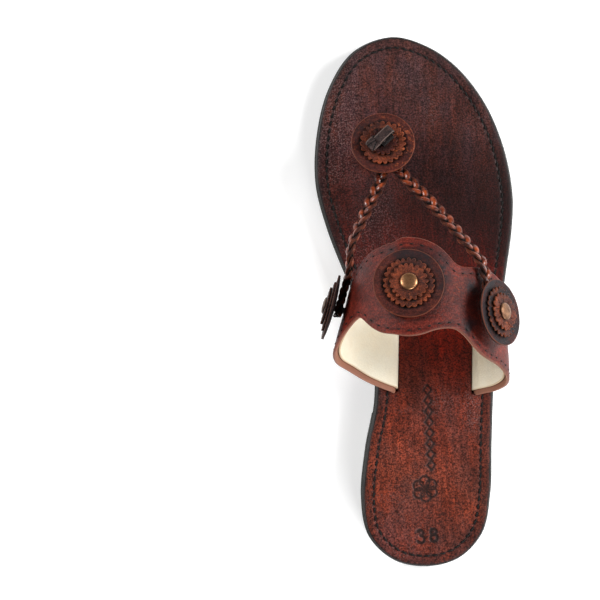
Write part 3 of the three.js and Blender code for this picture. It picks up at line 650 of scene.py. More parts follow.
thread = thread_material()
inner, inner_normal, outer, outer_normal = sole_edges(2001)
seam = np.vstack([inner + inner_normal * SEAM_INSET, (outer + outer_normal * SEAM_INSET)[::-1]])
seam_length = np.linalg.norm(np.diff(seam, axis=0), axis=1).sum()
seam_count = int(seam_length / STITCH_PITCH)
seam = even_points(seam, seam_count * 100 + 1)
starts = seam[:-1:100]
stops = seam[int(100 * STITCH_LENGTH / STITCH_PITCH) :: 100][:seam_count]
slant = unit(stops - starts)
slant = STITCH_SLANT * np.stack([-slant[:, 1], slant[:, 0]], 1)
starts, stops = starts + slant, stops - slant
starts, stops = (np.column_stack([k, footbed(k[:, 1]) - 0.2]) for k in (starts, stops))
ups = np.repeat([[0.0, 0.0, 1.0]], seam_count, 0)
points, faces = stitch_row(starts, stops, ups, STITCH_RADIUS, 0.2, 0.6)
piece("insole_stitching", points, faces, thread, "sandal", ["insole_stitching"])

# ---------------------------------------------------------------- toe post
# A thong of dark lace wound on itself, which stands between the first two toes and leans 16 degrees
# towards their tips. Its flat head is let into the midsole, and its thin neck carries braids and discs.
POST_LEAN = math.radians(16)
POST_RADIUS = 3.2
POST_HEIGHT = 17.0
NECK_RADIUS = 1.7
POST_FOOT_RADIUS = 7.0
LACE_PITCH = 2.6
DISC_THICKNESS = 1.2
STACK_GAP = 0.3
BRAID_THICKNESS = 3.4
LOWER_BRAID_LEVEL = POST_HEIGHT + STACK_GAP + BRAID_THICKNESS / 2
UPPER_BRAID_LEVEL = LOWER_BRAID_LEVEL + STACK_GAP + BRAID_THICKNESS
TOE_DISC_LEVEL = UPPER_BRAID_LEVEL + 2 * STACK_GAP + BRAID_THICKNESS / 2
KNOT_LEVEL = TOE_DISC_LEVEL + 3 * (DISC_THICKNESS + STACK_GAP)


def placed(place, local):
    """Points of a local frame, given as its origin and its three axes as rows, in the sandal's frame."""
    origin, axes = place
    return origin + np.asarray(local) @ axes


def lathe(profile, segments, ripple=0.0, pitch=1.0):
    """A profile of radii and levels turned about the z axis. A helical ripple of the given height and
    pitch is added to the radius. Returns points and quads."""
    profile = np.asarray(profile, float)
    angle = np.linspace(0, 2 * np.pi, segments, endpoint=False)
    radius, level = profile[:, :1] + 0 * angle, profile[:, 1:] + 0 * angle
    wave = np.abs(np.sin(np.pi * (level / pitch - angle / (2 * np.pi)))) ** 0.6
    radius = radius + ripple * wave * (radius > 0)
    points = np.stack([radius * np.cos(angle), radius * np.sin(angle), level], -1).reshape(-1, 3)
    return points, grid_faces(round_index(len(profile), segments))


def dyed_leather_material(
    name, low, high, fleck, cut, cells=1100, gloss=(0.4, 0.6), wear=0.35, streak=0.25
):
    """Dyed leather: two tones by blotches, streaks and grain, worn flecks of a third, and dark pores.
    The mark rim brings in cut edges; dark brings in pressed lines, seams, a darkening round the discs'
    holes, and painted shade and shadow; worn brings in more flecks, which on the toe discs' right side
    are painted light, and an orange patch on the vamp; stain_and_shade brings in black wax and painted
    shade."""
    made, tree, shader, position = new_material(name)
    grain = grain_node(tree, position, cells)
    tone = mix_colour(tree, remap(tree, grain["Tone"], 0.34, 0.66), low, high)
    worn = remap(tree, scaled_noise(tree, position, 330, 6, 0.75), 0.54, 0.7)
    wear = math_node(tree, "ADD", attribute(tree, "worn"), wear)
    tone = mix_colour(tree, math_node(tree, "MULTIPLY", worn, wear, clamp=True), tone, fleck)
    speckle = scaled_noise(tree, position, 1300, 3, 0.7)
    lines = scaled_noise(tree, position, 420, 4, 0.65, stretch=(0.25, 1.7, 1.7))
    shade = times(
        tree,
        remap(tree, speckle, 0.36, 0.64, 0.5, 1.5),
        remap(tree, lines, 0.36, 0.64, 1 - streak, 1 + streak),
        remap(tree, grain["Pores"], 0, 1, 0.72, 1.04),
    )
    tone = scaled(tree, tone, shade)
    smudge = remap(tree, scaled_noise(tree, position, 150, 6, 0.65), 0.36, 0.54)
    tone = mix_colour(tree, times(tree, smudge, attribute(tree, "stain_and_shade")), tone, colour(29, 22, 25))
    tone = mix_colour(tree, attribute(tree, "rim"), tone, cut)
    tone = mix_colour(tree, attribute(tree, "dark"), tone, colour(12, 8, 7))
    roughness = remap(tree, grain["Height"], 0.3, 1.1, *gloss)
    finish_shader(tree, shader, tone, roughness, grain["Height"], 0.5, 0.0002, 0.15)
    return made


lace_leather = dyed_leather_material(
    "lace_leather", colour(28, 20, 19), colour(62, 46, 44), colour(98, 72, 64), colour(124, 104, 96)
)
toe_place = (
    np.array([TOE_HOLE[0], TOE_HOLE[1], footbed(TOE_HOLE[1])]),
    np.array(
        [
            [1, 0, 0],
            [0, math.cos(POST_LEAN), -math.sin(POST_LEAN)],
            [0, math.sin(POST_LEAN), math.cos(POST_LEAN)],
        ]
    ),
)
shank = [(POST_RADIUS - 0.25, level) for level in np.arange(-5.0, POST_HEIGHT - 0.6, 0.2)]
neck = [(NECK_RADIUS - 0.1, level) for level in np.arange(POST_HEIGHT + 0.1, KNOT_LEVEL + 1.9, 0.3)]
foot = ((0, -6.0), (0.86, -6.0), (0.95, -5.6), (0.86, -5.1))
profile = [(POST_FOOT_RADIUS * share, level) for share, level in foot]
profile += shank + [(POST_RADIUS - 0.5, POST_HEIGHT - 0.3), (NECK_RADIUS + 0.4, POST_HEIGHT - 0.05)]
profile += neck + [(0, KNOT_LEVEL + 2.0)]
points, faces = lathe(profile, 40, ripple=0.25, pitch=LACE_PITCH)
piece("toe_post", placed(toe_place, points), faces, lace_leather, "sandal", ["toe_post"])

# ---------------------------------------------------------------- vamp lining
# Cream sheepskin 0.9 mm thick, glued inside the vamp and trimmed 2.4 mm back from its edge. Its ends go
# down into the insole's slots with the vamp's.
ARCH_POINTS = [
    (-7.4, -5), (-7.4, -1.5), (-9, 2.2), (-17, 6.5), (-27, 12), (-34.5, 20), (-37.4, 30), (-35.2, 41),
    (-27.5, 50), (-14, 56.5), (0, 58), (13.2, 56), (25, 49.3), (34.4, 39.3), (41, 28), (41.8, 17.5),
    (37.5, 8.5), (32, 2.6), (30, -1.5), (30, -5),
]
CROWN = (0.0, 58.0)
CROWN_Y = 7.0
WAIST_Y = -26.0
INNER_TAPER = 0.0096
OUTER_TAPER = -0.001
FALL = 0.0042
FULL_FORM_HEIGHT = 22.0
UPPER_SLOPE = -0.06
FRONT_ARM = [
    (-1, -13), (-0.86, -8), (-0.73, -1), (-0.6, 6), (-0.5, 12), (-0.45, 15.2), (-0.4, 18.6), (-0.35, 22),
    (-0.3, 24), (-0.25, 25), (-0.2, 26), (-0.15, 27), (0.25, 13.6), (0.37, 13), (0.45, 11.5), (0.54, 7.5),
    (0.61, 2.5), (0.69, -4), (0.78, -10), (1, -15),
]
REAR_ARM = [
    (-1, -44.5), (-0.9, -41.3), (-0.8, -36.6), (-0.7, -30.3), (-0.6, -26), (-0.5, -20.5), (-0.45, -16),
    (-0.4, -12), (-0.35, -7.8), (-0.31, -4.5), (-0.25, -9), (-0.2, -12), (-0.15, -13.8), (0.19, -13.2),
    (0.25, -17.3), (0.3, -23.3), (0.35, -26.7), (0.4, -29), (0.45, -30.7), (0.5, -32.5), (0.6, -37.5),
    (0.7, -42), (0.8, -45), (1, -47.5),
]
ROUND_RADIUS = 23.4
ROUND_ARC = -2.0
ROUND_Y = 6.8
PLAN_SHARE = 0.955
EDGE_SOFTNESS = 2.2
LINING_INSET = 2.4
LINING_TOP = -0.3
LINING_THICKNESS = 0.9

arch = smooth_curve(ARCH_POINTS, 6001)
arch_length = np.linalg.norm(np.diff(arch, axis=0), axis=1).sum()
crown_share = np.argmin(np.hypot(arch[:, 0] - CROWN[0], arch[:, 1] - CROWN[1])) / (len(arch) - 1)


def arc_of(side):
    """Length over the arch from the crown of a side position, -1 at the inner slot and 1 at the outer."""
    side = np.asarray(side, float)
    return np.where(side < 0, side * crown_share, side * (1 - crown_share)) * arch_length


def upper_point(arc, y):
    """A point of the vamp's inner face: the arch's section at that length from the crown, which from
    the footbed up widens or narrows, leans and falls in proportion to y."""
    share = np.clip(crown_share + arc / arch_length, 0, 1) * (len(arch) - 1)
    x, z = (np.interp(share, np.arange(len(arch)), column) for column in arch.T)
    full = step(z, 0, FULL_FORM_HEIGHT)
    base = footbed(CROWN_Y) + UPPER_SLOPE * (y - CROWN_Y)
    taper = np.where(x < 0, INNER_TAPER, OUTER_TAPER) * (y - WAIST_Y) * full
    across = x * (1 - taper) + SLOT_LEAN * (y - SLOT_MIDDLE) * (1 - full)
    height = footbed(y) * (1 - full) + base * full + z * (1 - FALL * (y - CROWN_Y) * full)
    return np.stack([across, y + 0 * across, height], -1)


def upper_normal(arc, y):
    """The outward normal there, from the cross product of small steps over the arch and forward."""
    over = upper_point(arc + 0.2, y) - upper_point(arc - 0.2, y)
    forward = upper_point(arc, y + 0.5) - upper_point(arc, y - 0.5)
    return unit(np.cross(over, forward))


def off_upper(arc, y, height):
    """A point at the given height above the inner face, along its normal."""
    return upper_point(arc, y) + upper_normal(arc, y) * np.asarray(height)[..., None]


def vamp_edge(table, sign):
    """One edge of the vamp over the arch: straight lines between the table's places, or a circle where
    that reaches further out, rounded by a running mean with Gaussian weights."""
    side, at = np.array(table, float).T
    arm = np.interp(vamp_arcs, arc_of(side), at)
    inside = np.clip(1 - ((vamp_arcs - ROUND_ARC) / ROUND_RADIUS) ** 2, 0, 1)
    reach = PLAN_SHARE * ROUND_RADIUS * np.sqrt(inside)
    line = np.where(reach > 0, sign * np.maximum(sign * arm, sign * ROUND_Y + reach), arm)
    spacing = vamp_arcs[1] - vamp_arcs[0]
    span = int(4 * EDGE_SOFTNESS / spacing)
    weights = np.exp(-0.5 * (np.arange(-span, span + 1) * spacing / EDGE_SOFTNESS) ** 2)
    return np.convolve(np.pad(line, span, mode="edge"), weights / weights.sum(), mode="valid")


vamp_arcs = np.linspace(arc_of(-1), arc_of(1), 2001)
front_line = vamp_edge(FRONT_ARM, 1)
rear_line = vamp_edge(REAR_ARM, -1)
front_lean, rear_lean = (np.sqrt(1 + np.gradient(line, vamp_arcs) ** 2) for line in (front_line, rear_line))


def upper_grid(columns, insets, rows, trim=0.0):
    """A grid over the upper, from slot to slot and from rear edge to front edge, trimmed back by trim,
    with lines at the given distances from both edges. Returns arc, y and both distances."""
    arc = np.linspace(vamp_arcs[0], vamp_arcs[-1], columns)[:, None]
    front, rear, fore_lean, back_lean = (
        np.interp(arc, vamp_arcs, line) for line in (front_line, rear_line, front_lean, rear_lean)
    )
    insets = trim + np.asarray(insets, float)[None]
    low = rear + insets * back_lean
    high = front - insets[:, ::-1] * fore_lean
    share = np.linspace(0, 1, rows + 1)[None, 1:-1]
    y = np.concatenate([low, low[:, -1:] + (high[:, :1] - low[:, -1:]) * share, high], 1)
    return arc + 0 * y, y, (front - y) / fore_lean, (y - rear) / back_lean


def rounded(distance, radius):
    """How far a rounded edge falls below the face, a quarter circle of the given radius."""
    inside = np.clip(1 - distance / radius, 0, 1)
    return radius * (1 - np.sqrt(1 - inside**2))


def lining_material():
    """Undyed sheepskin: cream with soft clouds and fine grain, and tan at the mark rim."""
    made, tree, shader, position = new_material("lining_leather")
    grain = grain_node(tree, position, 900)
    clouds = remap(tree, grain["Tone"], 0.35, 0.65)
    tone = mix_colour(tree, clouds, colour(250, 238, 212), colour(255, 248, 228))
    tone = mix_colour(tree, attribute(tree, "rim"), tone, colour(216, 192, 158))
    tone = scaled(tree, tone, remap(tree, grain["Pores"], 0, 1, 0.94, 1.0))
    roughness = remap(tree, grain["Height"], 0.3, 1.1, 0.55, 0.7)
    finish_shader(tree, shader, tone, roughness, grain["Height"], 0.4, 0.0002)
    return made


lining_leather = lining_material()
arc, y, to_front, to_rear = upper_grid(421, [0, 0.1, 0.3, 0.6, 1.0, 1.6], 26, LINING_INSET)
edge = np.minimum(to_front, to_rear) - LINING_INSET
ease = 0.05 * np.sin(arc / 3.1 + 1.4 * np.sin(y / 6)) + 0.05 * np.sin(arc / 7.7 - y / 5.3)
under = off_upper(arc, y, LINING_TOP - LINING_THICKNESS + rounded(edge, 0.3) + ease * step(edge, 0, 3))
over = off_upper(arc, y, LINING_TOP - rounded(edge, 0.15))
points, faces = shell(over, under, ends=True)
rim = np.tile((1 - step(edge, 0.1, 0.7)).reshape(-1), 2)
marks = {"rim": rim}
piece("vamp_lining", points, faces, lining_leather, "sandal", ["vamp_lining"], marks)

# ---------------------------------------------------------------- vamp
# One piece of waxed, deep red-brown leather 1.8 mm thick, round over the instep and with an arm on each
# side. The arms' ends go down through the insole's slots and are glued under it.
VAMP_THICKNESS = 1.8
FRONT_SEAM_INSET = 3.2
REAR_SEAM_INSET = 2.3
SEAM_GROOVE = 0.1
CENTRE_SIDE, CENTRE_Y = -0.02, 7.2
# Painted shadow: a dark ring on the vamp just round the rim of the centre rosette's base disc.
SHADOW_RING_RADIUS = 16.2
# Black wax stains on the vamp; the two spots left of the outer rosette, at x 27 and 24, are painted shade
# beside it.
STAIN_AND_SHADE_SPOTS = [(-1, 22, 11, 4, 1), (14, 13, 5, 9, 1), (-24, 20, 6, 5, 1), (27, 5, 3, 8, 1), (24, -12, 5, 6, 1)]
# A lighter orange patch right of the centre rosette: middle x and y, reach in x and y, strength.
ORANGE_PATCH = [(20.5, 4.5, 4.5, 5, 1.2)]

vamp_leather = dyed_leather_material(
    "vamp_leather", colour(56, 17, 13), colour(108, 37, 26), colour(150, 66, 34), colour(160, 112, 92),
    cells=820, gloss=(0.34, 0.52), wear=0.06, streak=0.3,
)
arc, y, to_front, to_rear = upper_grid(461, [0, 0.1, 0.3, 0.6, 1.0, 1.5, 1.9, 2.3, 2.7, 3.2, 3.7, 4.3], 34)
edge = np.minimum(to_front, to_rear)
front_groove, rear_groove = (
    np.exp(-(((distance - inset) / 0.5) ** 2))
    for distance, inset in ((to_front, FRONT_SEAM_INSET), (to_rear, REAR_SEAM_INSET))
)
groove = SEAM_GROOVE * (front_groove + rear_groove)
ease = 0.10 * np.sin(arc / 5.9 + 1.7 * np.sin(y / 8.3)) * np.sin(y / 6.1 + arc / 17)
ease += 0.05 * np.sin(arc / 2.7 + y / 4)
over = off_upper(arc, y, VAMP_THICKNESS - rounded(edge, 0.7) - groove + ease * step(edge, 0.5, 6))
under = off_upper(arc, y, rounded(edge, 0.6))
points, faces = shell(over, under, ends=True)
off_centre = np.hypot(arc - arc_of(CENTRE_SIDE), y - CENTRE_Y)
disc_shadow_ring = 0.6 * np.exp(-(((off_centre - SHADOW_RING_RADIUS) / 0.7) ** 2))
nothing = np.zeros_like(edge)
marks = {
    "rim": np.stack([0.3 * (1 - step(edge, 0.05, 0.6)), 0.9 * (1 - step(edge, 2.0, 3.0))]),
    "worn": np.stack([spots(over, ORANGE_PATCH), nothing]),
    "dark": np.stack([np.maximum(0.3 * groove / SEAM_GROOVE, disc_shadow_ring), nothing]),
    "stain_and_shade": np.stack([np.minimum(spots(over, STAIN_AND_SHADE_SPOTS), 1), nothing]),
}
piece("vamp", points, faces, vamp_leather, "sandal", ["vamp"], marks)

# ---------------------------------------------------------------- vamp stitching
# Waxed dark thread, one row inside each edge, sewn before the lining was glued in.
VAMP_PITCH = 4.6
VAMP_STITCH = 1.9
VAMP_STITCH_RADIUS = 0.38
SEAM_END = 0.84


def upper_seam(line, lean, inset, height):
    """Stitches along a line at the given distance inside an edge of the vamp, on its outer face."""
    arc = np.linspace(arc_of(-SEAM_END), arc_of(SEAM_END), 6001)
    y = np.interp(arc, vamp_arcs, line - inset * lean)
    path = upper_point(arc, y)
    length = lengths(path)
    begin = np.arange(1, length[-1] - VAMP_PITCH, VAMP_PITCH)
    ends = [np.interp(begin + extra, length, arc) for extra in (0, VAMP_STITCH)]
    starts, stops = (off_upper(k, np.interp(k, arc, y), np.full_like(k, height)) for k in ends)
    middle = 0.5 * (ends[0] + ends[1])
    ups = upper_normal(middle, np.interp(middle, arc, y))
    return stitch_row(starts, stops, ups, VAMP_STITCH_RADIUS, 0.06, 0.35)


for seam_name, line, lean, inset in (
    ("vamp_front_stitching", front_line, front_lean, FRONT_SEAM_INSET),
    ("vamp_rear_stitching", rear_line, -rear_lean, REAR_SEAM_INSET),
):
    points, faces = upper_seam(line, lean, inset, VAMP_THICKNESS - 0.1)
    piece(seam_name, points, faces, thread, "sandal", [seam_name])

# ---------------------------------------------------------------- braids
# Two flat plaits of three waxed leather strands. Each is pierced at one end by the toe post's neck and
# at the other by a side rosette's rivet, and lies over the vamp's front edge.
BRAID_WIDTH = 5.6
BRAID_PERIOD = 18.6
STRAND_WIDTH = 3.0
STRAND_THICKNESS = 1.8
STRAND_LIFT = 0.95
BRAID_ROUTES = {
    "inner_braid": [
        (-5.6, 77, 26.5), (-6.3, 72.2, 27.9), (-8.2, 58.7, 31.7), (-17.2, 42, 36.3), (-24.9, 27.4, 40.4),
        (-27, 15.4, 40.6), (-30, 7.2, 42.2), (-33, -1.1, 43.8), (-33.9, -4.0, 44.3),
    ],
    "outer_braid": [
        (-8.6, 77.5, 30.2), (-6.3, 73.3, 31.4), (0.1, 61.1, 34.9), (12.5, 45.2, 43.8), (24.2, 28.8, 52.6),
        (33.3, 14.2, 57.3), (34.9, 2.8, 58.1), (36.4, -8.5, 58.6), (37, -13.4, 58.7),
    ],
}
BRAID_TURNS = {"inner_braid": (0.1, 0.8), "outer_braid": (0.2, 0.75)}
# Each rosette's side position over the arch, its y, its seat above the vamp and its base disc's diameter.
SIDE_SEAT = 4.45
ROSETTES = {
    "centre": (CENTRE_SIDE, CENTRE_Y, STACK_GAP, 32.0),
    "inner": (-0.5, -2.5, SIDE_SEAT, 30.6),
    "outer": (0.415, -9.0, SIDE_SEAT, 30.6),
}


def rosette_place(side, y):
    """A frame on the vamp's outer face: z out of the leather and x forward along it."""
    arc, y = arc_of(side), np.asarray(float(y))
    up = upper_normal(arc, y)
    across = unit(np.cross([0.0, 1.0, 0.0], up))
    return off_upper(arc, y, VAMP_THICKNESS), np.array([np.cross(up, across), -across, up])


def swept(path, up, section):
    """A closed bar: the section's points, given across and up, carried along a path, with both ends
    closed by bands of quads."""
    tangent = unit(np.gradient(path, axis=0))
    across = unit(np.cross(tangent, up))
    up = np.cross(across, tangent)
    section = np.broadcast_to(section, (len(path), *np.shape(section)[-2:]))
    points = path[:, None] + across[:, None] * section[..., :1] + up[:, None] * section[..., 1:]
    count = section.shape[1]
    index = round_index(len(path), count)
    half = count // 2
    faces = [grid_faces(index)]
    for ring, flip in ((index[0, :-1], False), (index[-1, :-1], True)):
        faces.append(grid_faces(np.stack([ring[:half], ring[::-1][:half]]), flip))
    return points.reshape(-1, 3), np.concatenate(faces)


def flat_section(width, thickness, count, power=2.6):
    """A superellipse: cosine and sine raised to 2/power, so that it is flatter than an ellipse."""
    t = np.linspace(0, 2 * np.pi, count, endpoint=False)
    across, up = (np.sign(k) * np.abs(k) ** (2 / power) for k in (np.cos(t), np.sin(t)))
    return np.stack([across * width / 2, up * thickness / 2], 1)


def joined(shells):
    """Several closed shells as one set of points and quads."""
    points, faces, start = [], [], 0
    for some_points, some_faces in shells:
        points.append(some_points)
        faces.append(some_faces + start)
        start += len(some_points)
    return np.concatenate(points), np.concatenate(faces)


def plait(route, end_normal, turn_from, turn_to):
    """Three strands about a path: each swings across as a cosine and up and down as a sine of twice
    its phase, and the phases are a third of a turn apart. The plait turns over to end_normal between two
    shares of its way. The mark dark, painted shade, grows in the hollows and along the strands' edges."""
    path = smooth_curve(route, 700)
    length = lengths(path)
    tangent = unit(np.gradient(path, axis=0))
    turn = step(length / length[-1], turn_from, turn_to)[:, None]
    up = toe_place[1][2] * (1 - turn) + end_normal * turn
    up = unit(up - tangent * (up * tangent).sum(1, keepdims=True))
    across = np.cross(tangent, up)
    section = flat_section(STRAND_WIDTH, STRAND_THICKNESS, 18, 2.0)
    strands, marks = [], []
    for k in range(3):
        phase = 2 * np.pi * (length / BRAID_PERIOD + k / 3)
        side = (BRAID_WIDTH - STRAND_WIDTH * 0.72) / 2 * np.cos(phase)
        lift = STRAND_LIFT * np.sin(2 * phase)
        centre = path + across * side[:, None] + up * lift[:, None]
        tilt = up - across * (0.45 * np.cos(phase))[:, None]
        strands.append(swept(centre, tilt, section))
        # Painted shade: dark in the hollows under the other strands and along each strand's edges, a little
        # lighter at the plait's sides.
        strand_edge = np.abs(section[:, 0]) / (STRAND_WIDTH / 2)
        low = 1 - step(np.abs(lift[:, None] + section[:, 1]), 0.9, 1.65)
        inside = 1 - step(np.abs(side[:, None] + section[:, 0]), 1.7, 2.7)
        marks.append(np.maximum(low, 0.9 * step(strand_edge, 0.55, 0.9)) * (0.7 + 0.3 * inside))
    return (*joined(strands), np.concatenate([mark.reshape(-1) for mark in marks]))


def braid_material():
    """Waxed strands: orange-brown in patches and a fine speckle, dull and black at the mark dark, which is
    painted shade in the hollows and along the strands' edges, and glossy elsewhere under a thin coat."""
    made, tree, shader, position = new_material("braid_leather")
    patches = remap(tree, scaled_noise(tree, position, 260, 6, 0.7), 0.38, 0.62)
    tone = mix_colour(tree, patches, colour(56, 14, 8), colour(152, 66, 30))
    fine = remap(tree, scaled_noise(tree, position, 1300, 4, 0.7), 0.3, 0.72, 0.55, 1.3)
    dark = attribute(tree, "dark")
    tone = mix_colour(tree, dark, scaled(tree, tone, fine), colour(7, 5, 4))
    dull = math_node(tree, "ADD", remap(tree, patches, 0, 1, 0.4, 0.28), times(tree, dark, 0.5))
    finish_shader(tree, shader, tone, dull, fine, 0.5, 0.00015, 0.2)
    tree.links.new(remap(tree, dark, 0, 0.7, 0.5, 0), shader.inputs["Coat Weight"])
    shader.inputs["Coat Roughness"].default_value = 0.1
    return made


braid_leather = braid_material()
for name, route in BRAID_ROUTES.items():
    side, y, _, _ = ROSETTES[name.split("_")[0]]
    points, faces, dark = plait(route, rosette_place(side, y)[1][2], *BRAID_TURNS[name])
    piece(name, points, faces, braid_leather, "sandal", [name], {"dark": dark})

# ---------------------------------------------------------------- rosette discs
# Each rosette is a stack of three punched leather discs, loose on its rivet: a plain dark one, a pinked
# one, and a small pinked one. They can be turned by hand.
PINKED_DIAMETER = 23.6
SMALL_DIAMETER = 17.8
TOOTH_PITCH = 2.9
TOOTH_DEPTH = 1.5
DISH = 0.0055
RIVET_HOLE_RADIUS = 1.8
DISC_STEP = DISC_THICKNESS + STACK_GAP
# Black wax shares of each rosette's base, pinked and small disc; on the inner rosette the full share is
# painted shade.
DISC_STAIN_AND_SHADE = {"centre": (0.85, 0.7, 0.4), "inner": (1.0, 1.0, 1.0), "outer": (1.0, 1.0, 0.5)}
# Painted shade: the inner rosette's discs are darkened all over, as that steep side lies in shade.
INNER_DISC_SHADE = 0.6


def leather_disc(level, diameter, hole, teeth=0, wave=0.12, turn=0.0, cuts=0, stain_and_shade=0.0, above=0.0):
    """A disc about the z axis: a rounded flat profile carried round. Its rim is cut into teeth by a
    folded sine that varies a little, its face is dished as a parabola, and waves of two and three
    turns ripple it. Cuts, if any, are pressed into it like spokes. A ring of painted shadow lies round
    the rim of the disc above, the lower part of the wall is painted shade, and the face is darkened round
    the hole. The share stain_and_shade darkens one side, or the whole disc when it is near 1. Returns
    points, quads, and the marks rim, dark and stain_and_shade."""
    segments = max(192, teeth * 12)
    angle = np.linspace(0, 2 * np.pi, segments, endpoint=False)[None]
    rim = diameter / 2 + 0 * angle
    if teeth:
        bite = 1.0 + 0.3 * np.sin(5 * angle + 7 * turn) + 0.25 * np.sin(11 * angle + turn)
        uneven = 1 - 0.012 + 0.008 * np.sin(2 * angle + 3 * turn) + 0.006 * np.sin(3 * angle + turn)
        tooth = np.abs(np.sin(0.5 * teeth * (angle + turn) + 0.3 * np.sin(3 * angle))) ** 0.8
        rim = diameter / 2 * uneven - TOOTH_DEPTH * bite * (1 - tooth)
    share = np.concatenate([np.linspace(0, 0.9, 22), [0.93, 0.965, 0.985, 0.996]])
    top = np.interp(share, [0.9, 0.965, 0.985, 0.996], [0, 0.05, 0.14, 0.3])
    shares = np.concatenate([share, [1.0, 1.0], share[::-1]])[:, None]
    drop = np.concatenate([DISC_THICKNESS - top, [0.8, 0.35], (0.35 * top)[::-1]])[:, None]
    radius = hole + (rim - hole) * shares
    reach = radius / (diameter / 2)
    ripple = wave * (np.sin(2 * angle + turn * 9) + 0.6 * np.sin(3 * angle + turn * 5 + 1)) * reach**2
    fine = 0.03 * np.sin(radius * 2.1 + 3 * np.sin(5 * angle)) * np.sin(7 * angle + radius)
    on_top = (np.arange(len(shares)) < len(share))[:, None]
    dark = 0.0 * radius
    if cuts:
        comb = np.abs(((angle + turn) * cuts / (2 * np.pi)) % 1 - 0.5) * 2 * np.pi / cuts * radius
        dark = (1 - step(comb, 0.12, 0.38)) * step(radius, 4.2, 4.8) * on_top
        dark = dark * (1 - step(radius, rim - 2.2, rim - 1.6))
        drop = drop - 0.35 * dark
    lift = level + drop + DISH * radius**2 + ripple + fine * on_top
    points = np.stack([radius * np.cos(angle), radius * np.sin(angle), lift], -1)
    index = round_index(len(shares), segments)
    index = np.vstack([index, index[:1]])
    wall = np.interp(shares[:, 0], [0.965, 1.0], [0.0, 1.0])[:, None] + 0 * angle
    near_hole = 1 - step(radius, hole + 2.2, hole + 3.6)
    patchy = 0.55 + 0.45 * np.sin(3 * angle + 5 * turn) * np.sin(7 * angle + turn)
    # Painted shadow in a ring round the rim of the disc above, and painted shade on the lower part of the
    # wall.
    under_rim_shadow = on_top * patchy * (1 - step(np.abs(radius - above / 2 + 0.3), 0.4, 1.5)) * (above > 0)
    lower_wall_shade = wall * (1 - step(drop + 0 * angle, 0.5, 0.9))
    marks = {
        "rim": wall * (1 - lower_wall_shade) * 0.45,
        "dark": np.maximum.reduce([0.8 * dark, 0.5 * near_hole, 0.8 * lower_wall_shade, under_rim_shadow]),
        "stain_and_shade": stain_and_shade * step(np.cos(angle + math.radians(40)) + 1.6 * (stain_and_shade > 0.9), 0.0, 0.7) + 0 * radius,
    }
    return points.reshape(-1, 3), grid_faces(index), marks


disc_leather = dyed_leather_material(
    "disc_leather", colour(37, 13, 11), colour(76, 30, 22), colour(128, 62, 36), colour(140, 70, 40),
    cells=1000, gloss=(0.44, 0.6), wear=0.3,
)
tan_leather = dyed_leather_material(
    "tan_leather", colour(38, 16, 13), colour(124, 56, 30), colour(150, 76, 40), colour(150, 76, 40),
    cells=1200, gloss=(0.42, 0.6), wear=0.6,
)
teeth, small_teeth = (round(math.pi * k / TOOTH_PITCH) for k in (PINKED_DIAMETER, SMALL_DIAMETER))
for number, (name, (side, y, seat, base_diameter)) in enumerate(ROSETTES.items()):
    place = rosette_place(side, y)
    body = f"{name}_rosette"
    stack = [
        ("base_disc", base_diameter, 0, disc_leather, "disc_leather"),
        ("pinked_disc", PINKED_DIAMETER, teeth, tan_leather, "tan_leather"),
        ("small_disc", SMALL_DIAMETER, small_teeth, tan_leather, "tan_leather"),
    ]
    for layer, (part, diameter, count, leather, slot) in enumerate(stack):
        level = seat + layer * DISC_STEP
        turn = 0.37 * number + 0.21 * layer
        stain_and_shade = DISC_STAIN_AND_SHADE[name][layer]
        cuts = small_teeth // 2 if layer == 2 and name == "outer" else 0
        above = (PINKED_DIAMETER, SMALL_DIAMETER, 0.0)[layer]
        points, faces, marks = leather_disc(
            level, diameter, RIVET_HOLE_RADIUS, count, 0.1 - 0.03 * layer, turn, cuts, stain_and_shade, above
        )
        if name == "inner":
            marks["dark"] = np.maximum(marks["dark"], INNER_DISC_SHADE)
        node_name = f"{name}_{part}"
        piece(node_name, placed(place, points), faces, leather, body, [node_name], marks)

# ---------------------------------------------------------------- rivets and burrs
# Brass rivets: a low domed head on a 3 mm post through discs, braid, vamp and lining, peened over a
# washer inside. Dark wax lies round the foot of each head. The outer head is darkened a little, and the
# inner head much more, which is painted shade on that steep side.
RIVET_HEAD_RADIUS = 3.9
RIVET_POST_RADIUS = 1.5
BURR_RADIUS = 3.2
BURR_THICKNESS = 0.8
BURR_GAP = 0.5
BURR_TOP = -(VAMP_THICKNESS - LINING_TOP + LINING_THICKNESS) - BURR_GAP
# How dark each rivet head is made; on the inner head this is painted shade.
HEAD_DARKENING = {"centre": 0.0, "inner": 0.85, "outer": 0.35}


def brass_material():
    """Worn brass: copper-brown tarnish in patches, fine scratches, and darkening at the mark dark: wax
    round the heads' feet, some darkening over the outer head, and painted shade over the inner head.
    """
    made, tree, shader, position = new_material("worn_brass")
    tarnish = remap(tree, scaled_noise(tree, position, 420, 7, 0.7), 0.38, 0.66)
    tone = mix_colour(tree, tarnish, colour(170, 124, 88), colour(96, 62, 42))
    dark = attribute(tree, "dark")
    tone = mix_colour(tree, dark, tone, colour(38, 24, 18))
    scratches = scaled_noise(tree, position, 1600, 4, 0.7, stretch=(1, 0.2, 1))
    roughness = remap(tree, tarnish, 0, 1, 0.34, 0.54)
    finish_shader(tree, shader, tone, roughness, scratches, 0.35, 0.00012)
    metal = math_node(tree, "SUBTRACT", 1.0, times(tree, dark, 0.9))
    tree.links.new(metal, shader.inputs["Metallic"])
    return made


